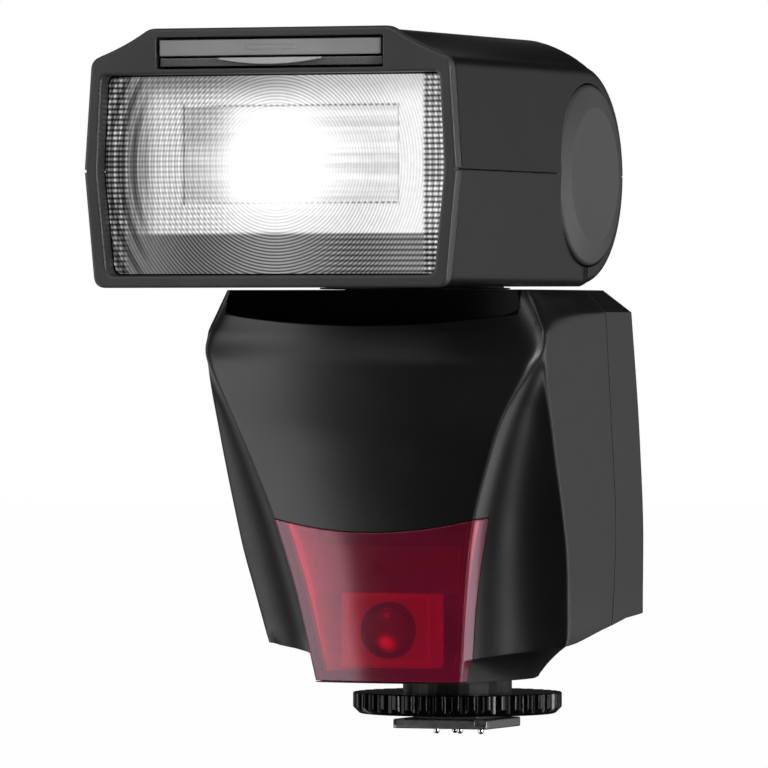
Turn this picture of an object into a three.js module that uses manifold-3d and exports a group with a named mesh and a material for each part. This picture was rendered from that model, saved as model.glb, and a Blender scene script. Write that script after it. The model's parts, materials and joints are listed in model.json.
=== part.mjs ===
// Shoe-mount speedlight flash with a tilting and swivelling head, in millimetres, +Z up.
// The origin is the centre of the shoe foot's underside. The lamp faces -Y, and +X is on the
// right of somebody who looks into the lamp.
import * as THREE from "three";
import { mergeVertices } from "three/addons/utils/BufferGeometryUtils.js";
import Module from "manifold-3d";

const wasm = await Module();
wasm.setup();

// ---------------------------------------------------------------- driving dimensions

// Shoe foot and lock ring
const FOOT_WIDTH = 18.6;
const FOOT_LENGTH = 18;
const FOOT_THICK = 1.7;
const NECK_HALF_WIDTH = 6.2;
const NECK_HALF_LENGTH = 6;
const COLLAR_RADIUS = 10;
const COLLAR_BOTTOM = 4.6;
const FOOT_BLOCK = { radius: 11, top: 16 };
const FOOT_SCREW = { radius: 2.4, x: 6, y: 6, bottom: 16.2 };
const WASHER = { radius: 10.6, z: [2.75, 3.5], hole: [6.6, 6.4] };
const RING_RADIUS = 19.15;
const RING_BOTTOM = 2.6;
const RING_TOP = 6.5;
const RING_RIBS = 40;
const RIB_DEPTH = 0.7;
const PIN_RADIUS = 0.6;
const PIN_REACH = 1.3;
const PINS = { contact_pin_centre: [0, 1.3], contact_pin_left: [-4.3, 0.6],
  contact_pin_right: [4.4, 0.6], contact_pin_rear: [-1.8, 3.4] };

// Body
const BODY_BOTTOM = 9.3;
const BODY_TOP = 80;
const BODY_HALF_WIDTH = 33;
const CHAMFER_START = 76;
const CHAMFER_SLOPE = 0.95;
const WALL = 1.8;
const PEDESTAL_RADIUS = 14.8;
const REAR_CORNER = 2;
const SEAM_GAP = 0.1;
const FIT = 0.15;
// Height, half width and depth of the ridge that bounds the front face
const RIDGE = [[9.3, 14.1, -34.1], [24.5, 16.3, -37.5], [38.3, 19.2, -41.1], [48.5, 22.6, -43.2],
  [56.7, 25.9, -44.5], [66, 30.4, -44.4], [71.5, 32, -43.6], [80, 32.3, -41.6]];
// Height, half width and depth of the front edge of the side face
const SIDE_EDGE = [[9.3, 27.6, -19.5], [16.6, 29.3, -20.5], [24, 30.4, -23], [35, 31.7, -27.4],
  [54.8, 32.4, -35.9], [66, 32.7, -40], [71.5, 33, -40.5], [80, 33, -39]];
// Height and depth of the rear edge of the side face, and of the seam between the shells
const REAR_EDGE = [[9.3, 8.4], [22, 8.4], [34.4, 8.65], [52, 6.9], [76, 2.35], [80, 1.5]];
const SEAM = [[0, -3.8], [19, -3.8], [34.6, -4.1], [54.5, -6.9], [76, -10.7], [90, -13.2]];
// Height and forward bulge of the front face
const BULGE = [[9.3, 2], [38.3, 2.6], [56.7, 3.4], [66, 4.5], [72, 5.2], [80, 6.2]];
// How far the flank is hollowed (1 is fully hollow, 0 is a plain rounded corner)
const HOLLOW = [[9.3, 1], [56, 1], [64, 0.62], [72, 0], [80, 0]];
// Height at which the underside's cove meets the side, at the front and at the rear
const COVE_FRONT = 14.4;
const COVE_REAR = 22;
const LEVELS = [9.3, 10.6, 12.4, 14.4, 17, 19.5, 22, 28, 34.4, 43, 52, 58, 64, 68, 72, 76, 80];

// Scoop in the top of the body, in front of the swivel neck
const SCOOP = { halfWidth: 29.6, depthY: 11.4, centreY: -50, floor: 74.2, edge: 76.4 };

// Red window over the focusing lamp
const WINDOW = { bottom: 9.6, top: 36.5, rise: 2.7, halfWidth: 20.6, backTop: -37.4, backBottom: -31 };
const WINDOW_WALL = 1.6;
const LAMP = { z: 18.8, radius: 5.4, halfWidth: 9.2, bottom: 12, top: 26, front: -34, back: -30.2 };
const BROW = { halfWidth: 14, front: -34.6, back: -33.4, top: 34 };
const LED = { x: -2.3, z: 30, radius: 1.3 };

// Cells, battery box and door on the -X side
const CELL = { radius: 7.2, length: 50.5, start: -26, button: [2.7, 1.5] };
const CELL_Y = [-23.4, -8.2];
const CELL_Z = [46.9, 61.9];
const DOOR = { y: [-28, -1.4], z: [38, 71], pivotX: -32, pivotY: -1.5, knuckle: 1.25, bore: 0.8, pin: 0.55 };
const CATCH = { y: [-27, -22], z: [50, 55], travel: 3, face: -33.1, back: -32.1, ribFace: -33.6 };
const DOOR_CONTACTS = { x: [-28.2, -27.4], stem: [[-30.5, -28.1], [-17, -14.6], [52, 57]] };

// Rear controls
const SCREEN = { halfWidth: 21, z: [54, 73.5] };
const BUTTON_Z = 46;
const BUTTONS = { mode_button: 19, zoom_button: 9.5, light_button: 0, minus_button: -9.5,
  plus_button: -19 };
const BUTTON_SIZE = [7, 4.6];
const TEST_BUTTON = { x: -15, z: 32, radius: 4.2 };
const READY_LAMP = { x: -5, z: 32, radius: 1.6 };
const SWITCH = { x: 12, z: 32, size: [8, 5], travel: 4 };
const CONTROL_PROUD = 0.9;

// Electronics, each [x range, y range, z range] or a radius, a range along X and a centre
const MAIN_BOARD = [[-26, 26], [1.5, 3], [20, 66]];
const CAPACITOR = { radius: 8, x: [-17, 17], centre: [0, -20, 28.6] };
const TRIGGER_COIL = { radius: 3.4, x: [19.5, 27.5], centre: [0, -14, 30] };
const TRANSFORMER = [[-28, -19.5], [-17, -6], [24, 34]];
const DISPLAY = [[-20, 20], [3.2, 4.2], [54.5, 65.5]];
const SCREEN_WALL = 1.2;
const CONTROL_BOARD_FACE = 4.4;

// Swivel and tilt axes
const SWIVEL_Y = -21;
const TILT_Z = 100.6;
const FLANGE_RADIUS = 17.2;
const SPIGOT_RADIUS = 12.7;
const DRUM_RADIUS = 19.3;
const DRUM_HALF_WIDTH = 17;
const SHAFT_RADIUS = 3;
const SHAFT_HALF_LENGTH = 22;
const DRUM_WALL = 2;
const RETAINING_RING = { radius: 15.4, z: [75.6, 77.2] };

// Head
const BEZEL_FRONT = -89.5;
const BEZEL_BACK = -86.2;
const HEAD_HALF_WIDTH = 34.7;
const HEAD_TOP = 125;
const HEAD_BOTTOM = 80.6;
const SHOULDER = [33, 119.7];
const CROWN_HALF_WIDTH = 22.6;
const LOWER_CORNER = [32.9, 82.6];
const HEAD_REAR = -0.95;
const REAR_RADIUS = 20.1;
const HEAD_WALL = 1.6;
const DISC_RADIUS = 16.2;
const DISC_FACE = 34.9;
const DISC_FLOOR = 31.2;
const DISC_TRAVEL = 1.5;
const DISC_STEM_RADIUS = 3;
const BEZEL_RIM = 0.45;
const LENS = { topZ: 117.4, bottomZ: 82.3, halfTop: 31.8, halfMid: 32.7, halfBottom: 30.8, y: -86.5 };
const SLOT = { halfWidth: 21.4, bottom: 118.3, top: 122.7, bezelTop: 123.9 };
const CARD = { z: [120.6, 122.2], barTop: 123.4, front: -89.1, barBack: -87.5, back: -46 };
const PANEL = { z: [118.8, 120.2], front: -88.6, lipFront: -89.6, lipHalfWidth: 9.4, back: -44 };
const TRAY = { front: -84, z: [117.2, 118.1] };
// The reflector trough, and the screw that drives its carriage forward by up to 14
const TROUGH = { mouthY: -69, backY: -53, tubeY: -57, halfWidth: 22, halfHeight: 8.8, wall: 0.8 };
const LAMP_TUBE = { radius: 2, endRadius: 1.2, shoulder: 24, end: 26 };
const CARRIAGE = { halfWidth: 29.5, top: 113, armX: [22.6, 24.2], armZ: [91, 111] };
const GUIDE = { x: 27.5, radius: 1, start: -82, end: -41.5 };
const SCREW = { x: 23, z: 89, start: -81, end: -46, pitch: 3, root: 1, crest: 1.35 };
const MOTOR = { radius: 5, end: -37 };
const CLICK_PLATE = { radius: 14, x: [17.7, 19] };

// ---------------------------------------------------------------- solids

const AXIS_BASES = {
  x: [[0, 1, 0], [0, 0, 1], [1, 0, 0]],
  y: [[1, 0, 0], [0, 0, 1], [0, -1, 0]],
  z: [[1, 0, 0], [0, 1, 0], [0, 0, 1]],
};
const TURN_BASES = {
  x: [[0, 1, 0], [1, 0, 0], [0, 0, -1]],
  y: [[1, 0, 0], [0, 1, 0], [0, 0, 1]],
  z: [[1, 0, 0], [0, 0, 1], [0, -1, 0]],
};
const SEGMENTS = 24;
const FAN_Y = -15;
const FAR = 60;

function basis(rows) {
  return new THREE.Matrix4().makeBasis(...rows.map((row) => new THREE.Vector3(...row)));
}

function solid(geometry) {
  const bare = geometry.index ? geometry.toNonIndexed() : geometry.clone();
  bare.deleteAttribute("normal");
  bare.deleteAttribute("uv");
  const merged = mergeVertices(bare, 1e-4);
  return new wasm.Manifold(new wasm.Mesh({
    numProp: 3,
    vertProperties: merged.attributes.position.array,
    triVerts: new Uint32Array(merged.index.array),
  }));
}

function block([x0, x1], [y0, y1], [z0, z1]) {
  const geometry = new THREE.BoxGeometry(x1 - x0, y1 - y0, z1 - z0);
  return solid(geometry.translate((x0 + x1) / 2, (y0 + y1) / 2, (z0 + z1) / 2));
}

// An outline pushed along an axis. The outline lies in (y, z), (x, z) or (x, y).
function prism(axis, outline, from, to) {
  const shape = outline instanceof THREE.Shape
    ? outline
    : new THREE.Shape(outline.map(([u, v]) => new THREE.Vector2(u, v)));
  const geometry = new THREE.ExtrudeGeometry(shape, {
    depth: to - from, bevelEnabled: false, curveSegments: 6,
  });
  geometry.applyMatrix4(basis(AXIS_BASES[axis]));
  const start = axis === "y" ? to : from;
  geometry.translate(axis === "x" ? start : 0, axis === "y" ? start : 0, axis === "z" ? start : 0);
  return solid(geometry);
}

// A profile of [radius, distance along the axis] turned about a line parallel to the axis.
function turned(axis, profile, centre = [0, 0, 0], segments = SEGMENTS) {
  const points = profile.map(([radius, along]) => new THREE.Vector2(radius, along));
  if (THREE.ShapeUtils.area(points) < 0) points.reverse();
  const closed = points[0].x === 0 ? points : [...points, points[0].clone()];
  const geometry = new THREE.LatheGeometry(closed, segments);
  geometry.applyMatrix4(basis(TURN_BASES[axis]));
  return solid(geometry.translate(...centre));
}

function rod(axis, radius, from, to, centre = [0, 0, 0], segments = SEGMENTS) {
  return turned(axis, [[0, from], [radius, from], [radius, to], [0, to]], centre, segments);
}

function tube(axis, inner, outer, from, to, centre = [0, 0, 0], segments = SEGMENTS) {
  const profile = [[inner, from], [outer, from], [outer, to], [inner, to]];
  return turned(axis, profile, centre, segments);
}

// A skin over level rings of the same number of [x, y] points. Each end is a fan about a point
// on the middle plane that all of the ring's points can be seen from.
function loft(rings) {
  const count = rings[0].points.length;
  const positions = rings.flatMap(({ z, points }) => points.flatMap(([x, y]) => [x, y, z]));
  positions.push(0, FAN_Y, rings[0].z, 0, FAN_Y, rings.at(-1).z);
  const foot = rings.length * count;
  const last = foot - count;
  const faces = [];
  for (let i = 0; i < count; i++) {
    const next = (i + 1) % count;
    faces.push(next, i, foot, last + i, last + next, foot + 1);
    for (let start = 0; start < last; start += count) {
      const [a, b] = [start + i, start + next];
      faces.push(a, b, b + count, a, b + count, a + count);
    }
  }
  const geometry = new THREE.BufferGeometry();
  geometry.setAttribute("position", new THREE.Float32BufferAttribute(positions, 3));
  geometry.setIndex(faces);
  return solid(geometry);
}

function mirrored(made) {
  return made.scale([-1, 1, 1]);
}

function joined(...parts) {
  return parts.reduce((sum, part) => sum.add(part));
}

function cut(made, ...tools) {
  return tools.reduce((rest, tool) => rest.subtract(tool), made);
}

// Value in a table of [key, value, value...] rows, straight between rows.
function tabled(rows, key, column = 1) {
  const next = rows.findIndex(([k]) => k >= key);
  if (next <= 0) return next === 0 ? rows[0][column] : rows.at(-1)[column];
  const [low, high] = [rows[next - 1], rows[next]];
  return THREE.MathUtils.mapLinear(key, low[0], high[0], low[column], high[column]);
}

// Each point of a closed outline moved inwards by the same distance from both its edges.
function inset(points, distance) {
  return points.map(([x, y], i) => {
    const before = new THREE.Vector2(...points.at(i - 1));
    const here = new THREE.Vector2(x, y);
    const after = new THREE.Vector2(...points[(i + 1) % points.length]);
    const normals = [[before, here], [here, after]].map(([from, to]) => {
      const way = to.clone().sub(from).normalize();
      return new THREE.Vector2(-way.y, way.x);
    });
    const middle = normals[0].clone().add(normals[1]).normalize();
    const reach = distance / Math.max(middle.dot(normals[0]), 0.5);
    return here.add(middle.multiplyScalar(reach)).toArray();
  });
}

// ---------------------------------------------------------------- scene graph

const flash = new THREE.Group();
const COLOURS = {
  shell: [0x26272a, 0.45, 0], bezel: [0x3a3b3e, 0.5, 0], disc: [0x4b4c4f, 0.5, 0],
  clear: [0xe8edf2, 0.12, 0], red: [0x7a1024, 0.15, 0], mirror: [0xd8d8d8, 0.15, 1],
  steel: [0xa9adb2, 0.3, 1], dark_metal: [0x3c3e41, 0.4, 0.8], ring: [0x141416, 0.2, 0],
  inner: [0x1b1c1e, 0.6, 0], board: [0x1f5a3a, 0.55, 0], label: [0x8a929c, 0.4, 0.1],
  brass: [0xb08a3e, 0.35, 1], screen: [0x8f9a86, 0.3, 0], button: [0x55575b, 0.55, 0],
};

function add(group, name, made, colour, place = [0, 0, 0]) {
  const { vertProperties, triVerts } = made.getMesh();
  const geometry = new THREE.BufferGeometry();
  geometry.setAttribute("position", new THREE.BufferAttribute(vertProperties, 3));
  geometry.setIndex(new THREE.BufferAttribute(triVerts, 1));
  geometry.computeVertexNormals();
  const [color, roughness, metalness] = COLOURS[colour];
  const mesh = new THREE.Mesh(
    geometry, new THREE.MeshStandardMaterial({ color, roughness, metalness }));
  mesh.name = name;
  mesh.position.set(...place);
  group.add(mesh);
}

function assembly() {
  const group = new THREE.Group();
  flash.add(group);
  return group;
}

// ---------------------------------------------------------------- body outline

const FRONT_STEPS = 4;
const FLANK_STEPS = 5;
const SIDE_STEPS = 2;
const CORNER_STEPS = 3;

// Right half of the body's outline at a height, from the middle of the front to that of the rear.
function halfOutline(z) {
  const narrow = Math.max(0, z - CHAMFER_START) * CHAMFER_SLOPE;
  const ridge = new THREE.Vector2(tabled(RIDGE, z, 1) - narrow, tabled(RIDGE, z, 2));
  const edge = new THREE.Vector2(tabled(SIDE_EDGE, z, 1) - narrow, tabled(SIDE_EDGE, z, 2));
  const side = BODY_HALF_WIDTH - narrow;
  const rear = tabled(REAR_EDGE, z) - narrow;
  const bulge = tabled(BULGE, z);
  const hollow = new THREE.Vector2(
    ridge.x + 0.15 * (edge.x - ridge.x), edge.y - 0.22 * (edge.y - ridge.y));
  const full = new THREE.Vector2(edge.x, ridge.y);
  const pull = hollow.lerp(full, 1 - tabled(HOLLOW, z));
  const flank = new THREE.QuadraticBezierCurve(ridge, pull, edge);
  const points = [];
  for (let i = 0; i < FRONT_STEPS; i++) {
    const share = i / FRONT_STEPS;
    points.push([ridge.x * share, ridge.y - bulge * (1 - share * share)]);
  }
  flank.getPoints(FLANK_STEPS).forEach((p) => points.push(p.toArray()));
  for (let i = 1; i <= SIDE_STEPS; i++) {
    const share = i / SIDE_STEPS;
    points.push([
      THREE.MathUtils.lerp(edge.x, side, share), THREE.MathUtils.lerp(edge.y, rear, share)]);
  }
  for (let i = 1; i <= CORNER_STEPS; i++) {
    const turn = (i / CORNER_STEPS) * (Math.PI / 2);
    points.push([
      side - REAR_CORNER * (1 - Math.cos(turn)), rear + REAR_CORNER * Math.sin(turn)]);
  }
  points.push([0, rear + REAR_CORNER]);
  return points;
}

// The same points where the body meets the pedestal ring around the foot.
function pedestalPoint(index, count) {
  const first = FRONT_STEPS;
  if (index <= first) return null;
  const share = (index - first) / (count - 1 - first);
  const turn = THREE.MathUtils.lerp(-Math.PI / 2 + 0.55, Math.PI / 2, share);
  return [PEDESTAL_RADIUS * Math.cos(turn), PEDESTAL_RADIUS * Math.sin(turn)];
}

// The cove under the body draws the outline in towards the pedestal as it goes down.
function covedOutline(z) {
  const half = halfOutline(z);
  return half.map((point, i) => {
    const home = pedestalPoint(i, half.length);
    if (!home) return point;
    const flankShare = Math.min(1, (i - FRONT_STEPS) / FLANK_STEPS);
    const back = (i - FRONT_STEPS) / (half.length - 1 - FRONT_STEPS);
    const meets = THREE.MathUtils.lerp(COVE_FRONT, COVE_REAR, back);
    const s = THREE.MathUtils.clamp((z - BODY_BOTTOM) / (meets - BODY_BOTTOM), 0, 1);
    const share = 0.5 * s + 0.5 * (1 - Math.sqrt(1 - s * s));
    const keep = 1 - (1 - share) * flankShare;
    return home.map((from, axis) => THREE.MathUtils.lerp(from, point[axis], keep));
  });
}

function bodyRing(z, distance) {
  const half = covedOutline(z);
  const other = half.slice(1, -1).reverse().map(([x, y]) => [-x, y]);
  return { z, points: inset([...half, ...other], distance) };
}

function bodyVolume(distance, bottom, top) {
  const inside = LEVELS.filter((z) => z > bottom && z < top);
  return loft([bottom, ...inside, top].map((z) => bodyRing(z, distance)));
}

// Everything in front of (or behind) the seam between the body shells.
function seamSide(front, gap) {
  const line = SEAM.map(([z, y]) => [y + (front ? -gap : gap), z]);
  const far = front ? -100 : 100;
  return prism("x", [...line, [far, SEAM.at(-1)[0]], [far, SEAM[0][0]]], -50, 50);
}

function scoopTool() {
  const { halfWidth, depthY, centreY, floor, edge } = SCOOP;
  const plan = new THREE.Shape();
  plan.absellipse(0, centreY, halfWidth, depthY, 0, 2 * Math.PI);
  const right = [[12, floor + 0.4], [halfWidth - 3, edge - 0.6], [halfWidth, edge + 1.4],
    [halfWidth, BODY_TOP + 9]];
  const left = right.map(([x, z]) => [-x, z]).reverse();
  const profile = [...left, [0, floor], ...right];
  return prism("z", plan, floor - 2, BODY_TOP + 8).intersect(prism("y", profile, -FAR - 5, -30));
}

function windowRegion(gap) {
  const { bottom, top, rise, halfWidth, backTop, backBottom } = WINDOW;
  const crest = new THREE.Shape();
  crest.moveTo(-halfWidth - 3, bottom - gap);
  crest.lineTo(halfWidth + 3, bottom - gap);
  crest.lineTo(halfWidth, top + rise + gap);
  crest.quadraticCurveTo(0, top - rise + gap, -halfWidth, top + rise + gap);
  const slope = (backBottom - backTop) / (top + rise - bottom);
  const low = bottom - 2;
  const high = top + rise + 2;
  const back = (z) => backTop + gap + slope * (top + rise - z);
  const side = [[-FAR, low], [back(low), low], [back(high), high], [-FAR, high]];
  return prism("y", crest, -FAR, -25).intersect(prism("x", side, -FAR, FAR));
}

// ---------------------------------------------------------------- body pieces

const body = assembly();

function roundedSlab([width, height], radius) {
  const [w, h] = [width / 2, height / 2];
  const shape = new THREE.Shape();
  shape.moveTo(-w + radius, -h);
  shape.lineTo(w - radius, -h);
  shape.quadraticCurveTo(w, -h, w, -h + radius);
  shape.lineTo(w, h - radius);
  shape.quadraticCurveTo(w, h, w - radius, h);
  shape.lineTo(-w + radius, h);
  shape.quadraticCurveTo(-w, h, -w, h - radius);
  shape.lineTo(-w, -h + radius);
  shape.quadraticCurveTo(-w, -h, -w + radius, -h);
  return shape;
}

// Depth of the rear face's outer surface at a height.
const rearFace = (z) => tabled(REAR_EDGE, z) + REAR_CORNER;

const doorRegion = (gap) => block([-FAR, -28.8], [DOOR.y[0] - gap, DOOR.y[1] + gap],
  [DOOR.z[0] - gap, DOOR.z[1] + gap]);
const knuckleSpan = [DOOR.z[0] + 2, DOOR.z[1] - 2];
const pivot = [DOOR.pivotX, DOOR.pivotY, 0];

function bodyShells() {
  const outer = cut(bodyVolume(0, BODY_BOTTOM, BODY_TOP), scoopTool());
  const underScoop = block([-31, 31], [-FAR, SCOOP.centreY + SCOOP.depthY + WALL],
    [SCOOP.floor - WALL - 0.4, BODY_TOP]);
  const cavity = cut(bodyVolume(WALL, BODY_BOTTOM + 2, BODY_TOP - 2.2), underScoop);
  const spigotHole = rod("z", SPIGOT_RADIUS + 0.3, BODY_TOP - 5, BODY_TOP + 2, [0, SWIVEL_Y, 0], 32);
  const collarHole = rod("z", COLLAR_RADIUS + 0.3, BODY_BOTTOM - 2, BODY_BOTTOM + 4, [0, 0, 0], 32);
  const screen = block([-SCREEN.halfWidth - FIT, SCREEN.halfWidth + FIT], [-1, 20],
    [SCREEN.z[0] - FIT, SCREEN.z[1] + FIT]);
  const hinge = joined(
    rod("z", DOOR.knuckle + 0.4, DOOR.z[0] - FIT, DOOR.z[1] + FIT, pivot, 16),
    rod("z", DOOR.bore, knuckleSpan[0] - 3, knuckleSpan[1] + 3, pivot, 8));
  const holes = Object.values(BUTTONS).map((x) => pressHole(x, BUTTON_Z, BUTTON_SIZE));
  holes.push(rod("y", TEST_BUTTON.radius + 0.25, 0, 20, [TEST_BUTTON.x, 0, TEST_BUTTON.z]));
  holes.push(rod("y", READY_LAMP.radius + FIT, 0, 20, [READY_LAMP.x, 0, READY_LAMP.z], 12));
  holes.push(pressHole(SWITCH.x + SWITCH.travel / 2, SWITCH.z,
    [SWITCH.size[0] + SWITCH.travel, SWITCH.size[1]]));
  const whole = cut(outer, cavity, spigotHole, collarHole, screen, doorRegion(FIT), hinge,
    windowRegion(FIT), ...holes);
  add(body, "front_shell", whole.intersect(seamSide(true, SEAM_GAP)), "shell");
  add(body, "rear_shell", whole.intersect(seamSide(false, SEAM_GAP)), "shell");
}

function pressHole(x, z, [width, height]) {
  const clear = 0.25;
  return block([x - width / 2 - clear, x + width / 2 + clear], [0, 20],
    [z - height / 2 - clear, z + height / 2 + clear]);
}

function focusLamp() {
  const skin = cut(bodyVolume(0, BODY_BOTTOM, BODY_TOP),
    bodyVolume(WINDOW_WALL, BODY_BOTTOM + 2, BODY_TOP - 2));
  const glass = skin.intersect(windowRegion(0));
  add(body, "focus_window", glass, "red");
  const lensBack = LAMP.front + 2.4;
  const bore = rod("y", LAMP.radius, LAMP.front - 6, lensBack + 0.1, [0, 0, LAMP.z]);
  const frame = block([-LAMP.halfWidth, LAMP.halfWidth], [LAMP.front, LAMP.back], [LAMP.bottom, LAMP.top]);
  const brow = block([-BROW.halfWidth, BROW.halfWidth], [BROW.front, BROW.back], [LAMP.top - 0.5, BROW.top]);
  add(body, "focus_lamp_frame", cut(joined(frame, brow), bore), "inner");
  const radius = LAMP.radius - 0.3;
  const dome = [[0, LAMP.front - 1.6], [radius * 0.5, LAMP.front - 1.2], [radius * 0.86, LAMP.front - 0.2],
    [radius, LAMP.front + 1], [radius, lensBack], [0, lensBack]];
  add(body, "focus_lamp_lens", turned("y", dome, [0, 0, LAMP.z], 20), "clear");
  const ledBack = BROW.front - 0.1;
  const led = [[0, ledBack - 2.5], [LED.radius * 0.6, ledBack - 2.2], [LED.radius, ledBack - 1.5],
    [LED.radius, ledBack], [0, ledBack]];
  add(body, "focus_led", turned("y", led, [LED.x, 0, LED.z], 12), "red");
}

function batteries() {
  const [y0, y1] = [CELL_Y[0] - CELL.radius - 1, CELL_Y[1] + CELL.radius + 0.9];
  const [z0, z1] = [CELL_Z[0] - CELL.radius - 1, CELL_Z[1] + CELL.radius + 1];
  const end = CELL.start + CELL.length;
  const room = bodyVolume(WALL + 0.4, BODY_BOTTOM + 3, BODY_TOP - 3);
  const places = CELL_Y.flatMap((y) => CELL_Z.map((z) => [0, y, z]));
  const bores = places.map((place) => rod("x", CELL.radius + 0.3, -FAR, FAR, place, 16));
  const box = block([CELL.start - 0.3, end + 0.3], [y0, y1], [z0, z1]).intersect(room);
  add(body, "battery_box", cut(box, ...bores), "inner");
  const shoulder = CELL.length - CELL.button[1];
  const profile = [[0, 0], [CELL.radius, 0], [CELL.radius, shoulder], [CELL.button[0], shoulder],
    [CELL.button[0], CELL.length], [0, CELL.length]];
  places.forEach((place, i) => {
    add(body, `cell_${i + 1}`, turned("x", profile, [0, 0, 0], 16), "label",
      [CELL.start, place[1], place[2]]);
  });
  const plate = block([end + 0.5, end + 1.3], [y0 + 3, y1 - 1], [z0 + 2, z1 - 1]);
  add(body, "battery_end_contacts", plate, "steel");
}

function batteryDoor() {
  const skin = cut(bodyVolume(0, BODY_BOTTOM, BODY_TOP),
    bodyVolume(WALL, BODY_BOTTOM + 2, BODY_TOP - 2));
  const knuckle = rod("z", DOOR.knuckle, ...knuckleSpan, pivot, 16);
  const bore = rod("z", DOOR.bore, DOOR.z[0] - 1, DOOR.z[1] + 1, pivot, 8);
  const pocket = block([-FAR, CATCH.back + 0.2],
    [CATCH.y[0] - 0.3, CATCH.y[1] + 0.3], [CATCH.z[0] - 0.3, CATCH.z[1] + CATCH.travel + 0.4]);
  const door = cut(joined(skin.intersect(doorRegion(0)), knuckle), bore, pocket);
  const group = assembly();
  add(group, "battery_door", door, "shell");
  const slider = block([CATCH.face, CATCH.back], CATCH.y, CATCH.z);
  const ribs = [-1, 0, 1].map((step) => {
    const middle = (CATCH.z[0] + CATCH.z[1]) / 2 + step * 1.3;
    return block([CATCH.ribFace, CATCH.face + 0.05], [CATCH.y[0] + 0.5, CATCH.y[1] - 0.5],
      [middle - 0.3, middle + 0.3]);
  });
  add(group, "battery_door_catch", joined(slider, ...ribs), "button");
  const contacts = block(DOOR_CONTACTS.x, [CELL_Y[0] - 3.5, CELL_Y[1] + 5], [CELL_Z[0] - 5, CELL_Z[1] + 5]);
  add(group, "battery_door_contacts", joined(contacts, block(...DOOR_CONTACTS.stem)), "brass");
  add(body, "battery_door_pin",
    rod("z", DOOR.pin, knuckleSpan[0] - 2.6, knuckleSpan[1] + 2.6, pivot, 8), "steel");
}

function electronics() {
  add(body, "main_board", block(...MAIN_BOARD), "board");
  add(body, "main_capacitor", rod("x", CAPACITOR.radius, ...CAPACITOR.x, CAPACITOR.centre), "inner");
  add(body, "trigger_coil",
    rod("x", TRIGGER_COIL.radius, ...TRIGGER_COIL.x, TRIGGER_COIL.centre, 16), "brass");
  add(body, "charge_transformer", block(...TRANSFORMER), "brass");
  add(body, "display_module", block(...DISPLAY), "screen");
  const skin = cut(bodyVolume(0, BODY_BOTTOM, BODY_TOP),
    bodyVolume(SCREEN_WALL, BODY_BOTTOM + 2, BODY_TOP - 2));
  const region = block([-SCREEN.halfWidth, SCREEN.halfWidth], [-1, 20], SCREEN.z);
  add(body, "display_window", skin.intersect(region), "clear");
}

function rearControls() {
  const boardFace = CONTROL_BOARD_FACE;
  for (const [name, x] of Object.entries(BUTTONS)) {
    const depth = rearFace(BUTTON_Z) + CONTROL_PROUD - boardFace;
    const cap = prism("y", roundedSlab(BUTTON_SIZE, 1), 0, depth);
    add(body, name, cap, "button", [x, boardFace, BUTTON_Z]);
  }
  const face = rearFace(TEST_BUTTON.z) + CONTROL_PROUD;
  const press = [[0, boardFace], [TEST_BUTTON.radius, boardFace], [TEST_BUTTON.radius, face],
    [TEST_BUTTON.radius - 1, face + 0.3], [0, face]];
  add(body, "test_button", turned("y", press), "button", [TEST_BUTTON.x, 0, TEST_BUTTON.z]);
  const lampBack = boardFace + 0.6;
  const lamp = [[0, lampBack], [READY_LAMP.radius, lampBack], [READY_LAMP.radius, face - 0.7],
    [0, face - 0.3]];
  add(body, "ready_lamp", turned("y", lamp, [0, 0, 0], 12), "red", [READY_LAMP.x, 0, READY_LAMP.z]);
  const [width, height] = SWITCH.size;
  const slider = prism("y", roundedSlab([width, height], 0.8), boardFace, rearFace(SWITCH.z) + 0.3);
  const thumb = prism("y", roundedSlab([2.4, height - 0.8], 0.6), rearFace(SWITCH.z) + 0.2,
    rearFace(SWITCH.z) + 1.6);
  add(body, "power_switch", joined(slider, thumb), "button", [SWITCH.x, 0, SWITCH.z]);
}

// ---------------------------------------------------------------- foot pieces

function foot() {
  const disc = rod("z", FOOT_BLOCK.radius, BODY_BOTTOM + 2.2, FOOT_BLOCK.top, [0, 0, 0], 32);
  const collar = rod("z", COLLAR_RADIUS, COLLAR_BOTTOM, BODY_BOTTOM + 3, [0, 0, 0], 32);
  const bores = Object.values(PINS).map(([x, y]) => rod("z", 0.9, 0, 9, [x, y, 0], 8));
  add(body, "foot_block", cut(joined(disc, collar), ...bores), "inner");
  const plate = block([-FOOT_WIDTH / 2, FOOT_WIDTH / 2], [-FOOT_LENGTH / 2, FOOT_LENGTH / 2],
    [0, FOOT_THICK]);
  const stand = block([-NECK_HALF_WIDTH, NECK_HALF_WIDTH], [-NECK_HALF_LENGTH, NECK_HALF_LENGTH],
    [FOOT_THICK - 0.5, COLLAR_BOTTOM - 0.1]);
  const sockets = Object.values(PINS).map(([x, y]) => rod("z", 0.8, -2, 9, [x, y, 0], 8));
  add(body, "shoe_foot", cut(joined(plate, stand), ...sockets), "dark_metal");
  for (const [name, [x, y]] of Object.entries(PINS)) {
    const tip = [[0, -PIN_REACH], [PIN_RADIUS * 0.6, -PIN_REACH + 0.12], [PIN_RADIUS, -PIN_REACH + 0.5],
      [PIN_RADIUS, 6], [0, 6]];
    add(body, name, turned("z", tip, [0, 0, 0], 10), "steel", [x, y, 0]);
  }
  for (const x of [-1, 1]) {
    const name = x < 0 ? "foot_screw_left" : "foot_screw_right";
    const { radius, bottom } = FOOT_SCREW;
    const screw = [[0, bottom], [radius, bottom], [radius, bottom + 0.8], [radius / 2, bottom + 1.6],
      [0, bottom + 1.6]];
    add(body, name, turned("z", screw, [0, 0, 0], 10), "steel", [x * FOOT_SCREW.x, FOOT_SCREW.y, 0]);
  }
}

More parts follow.
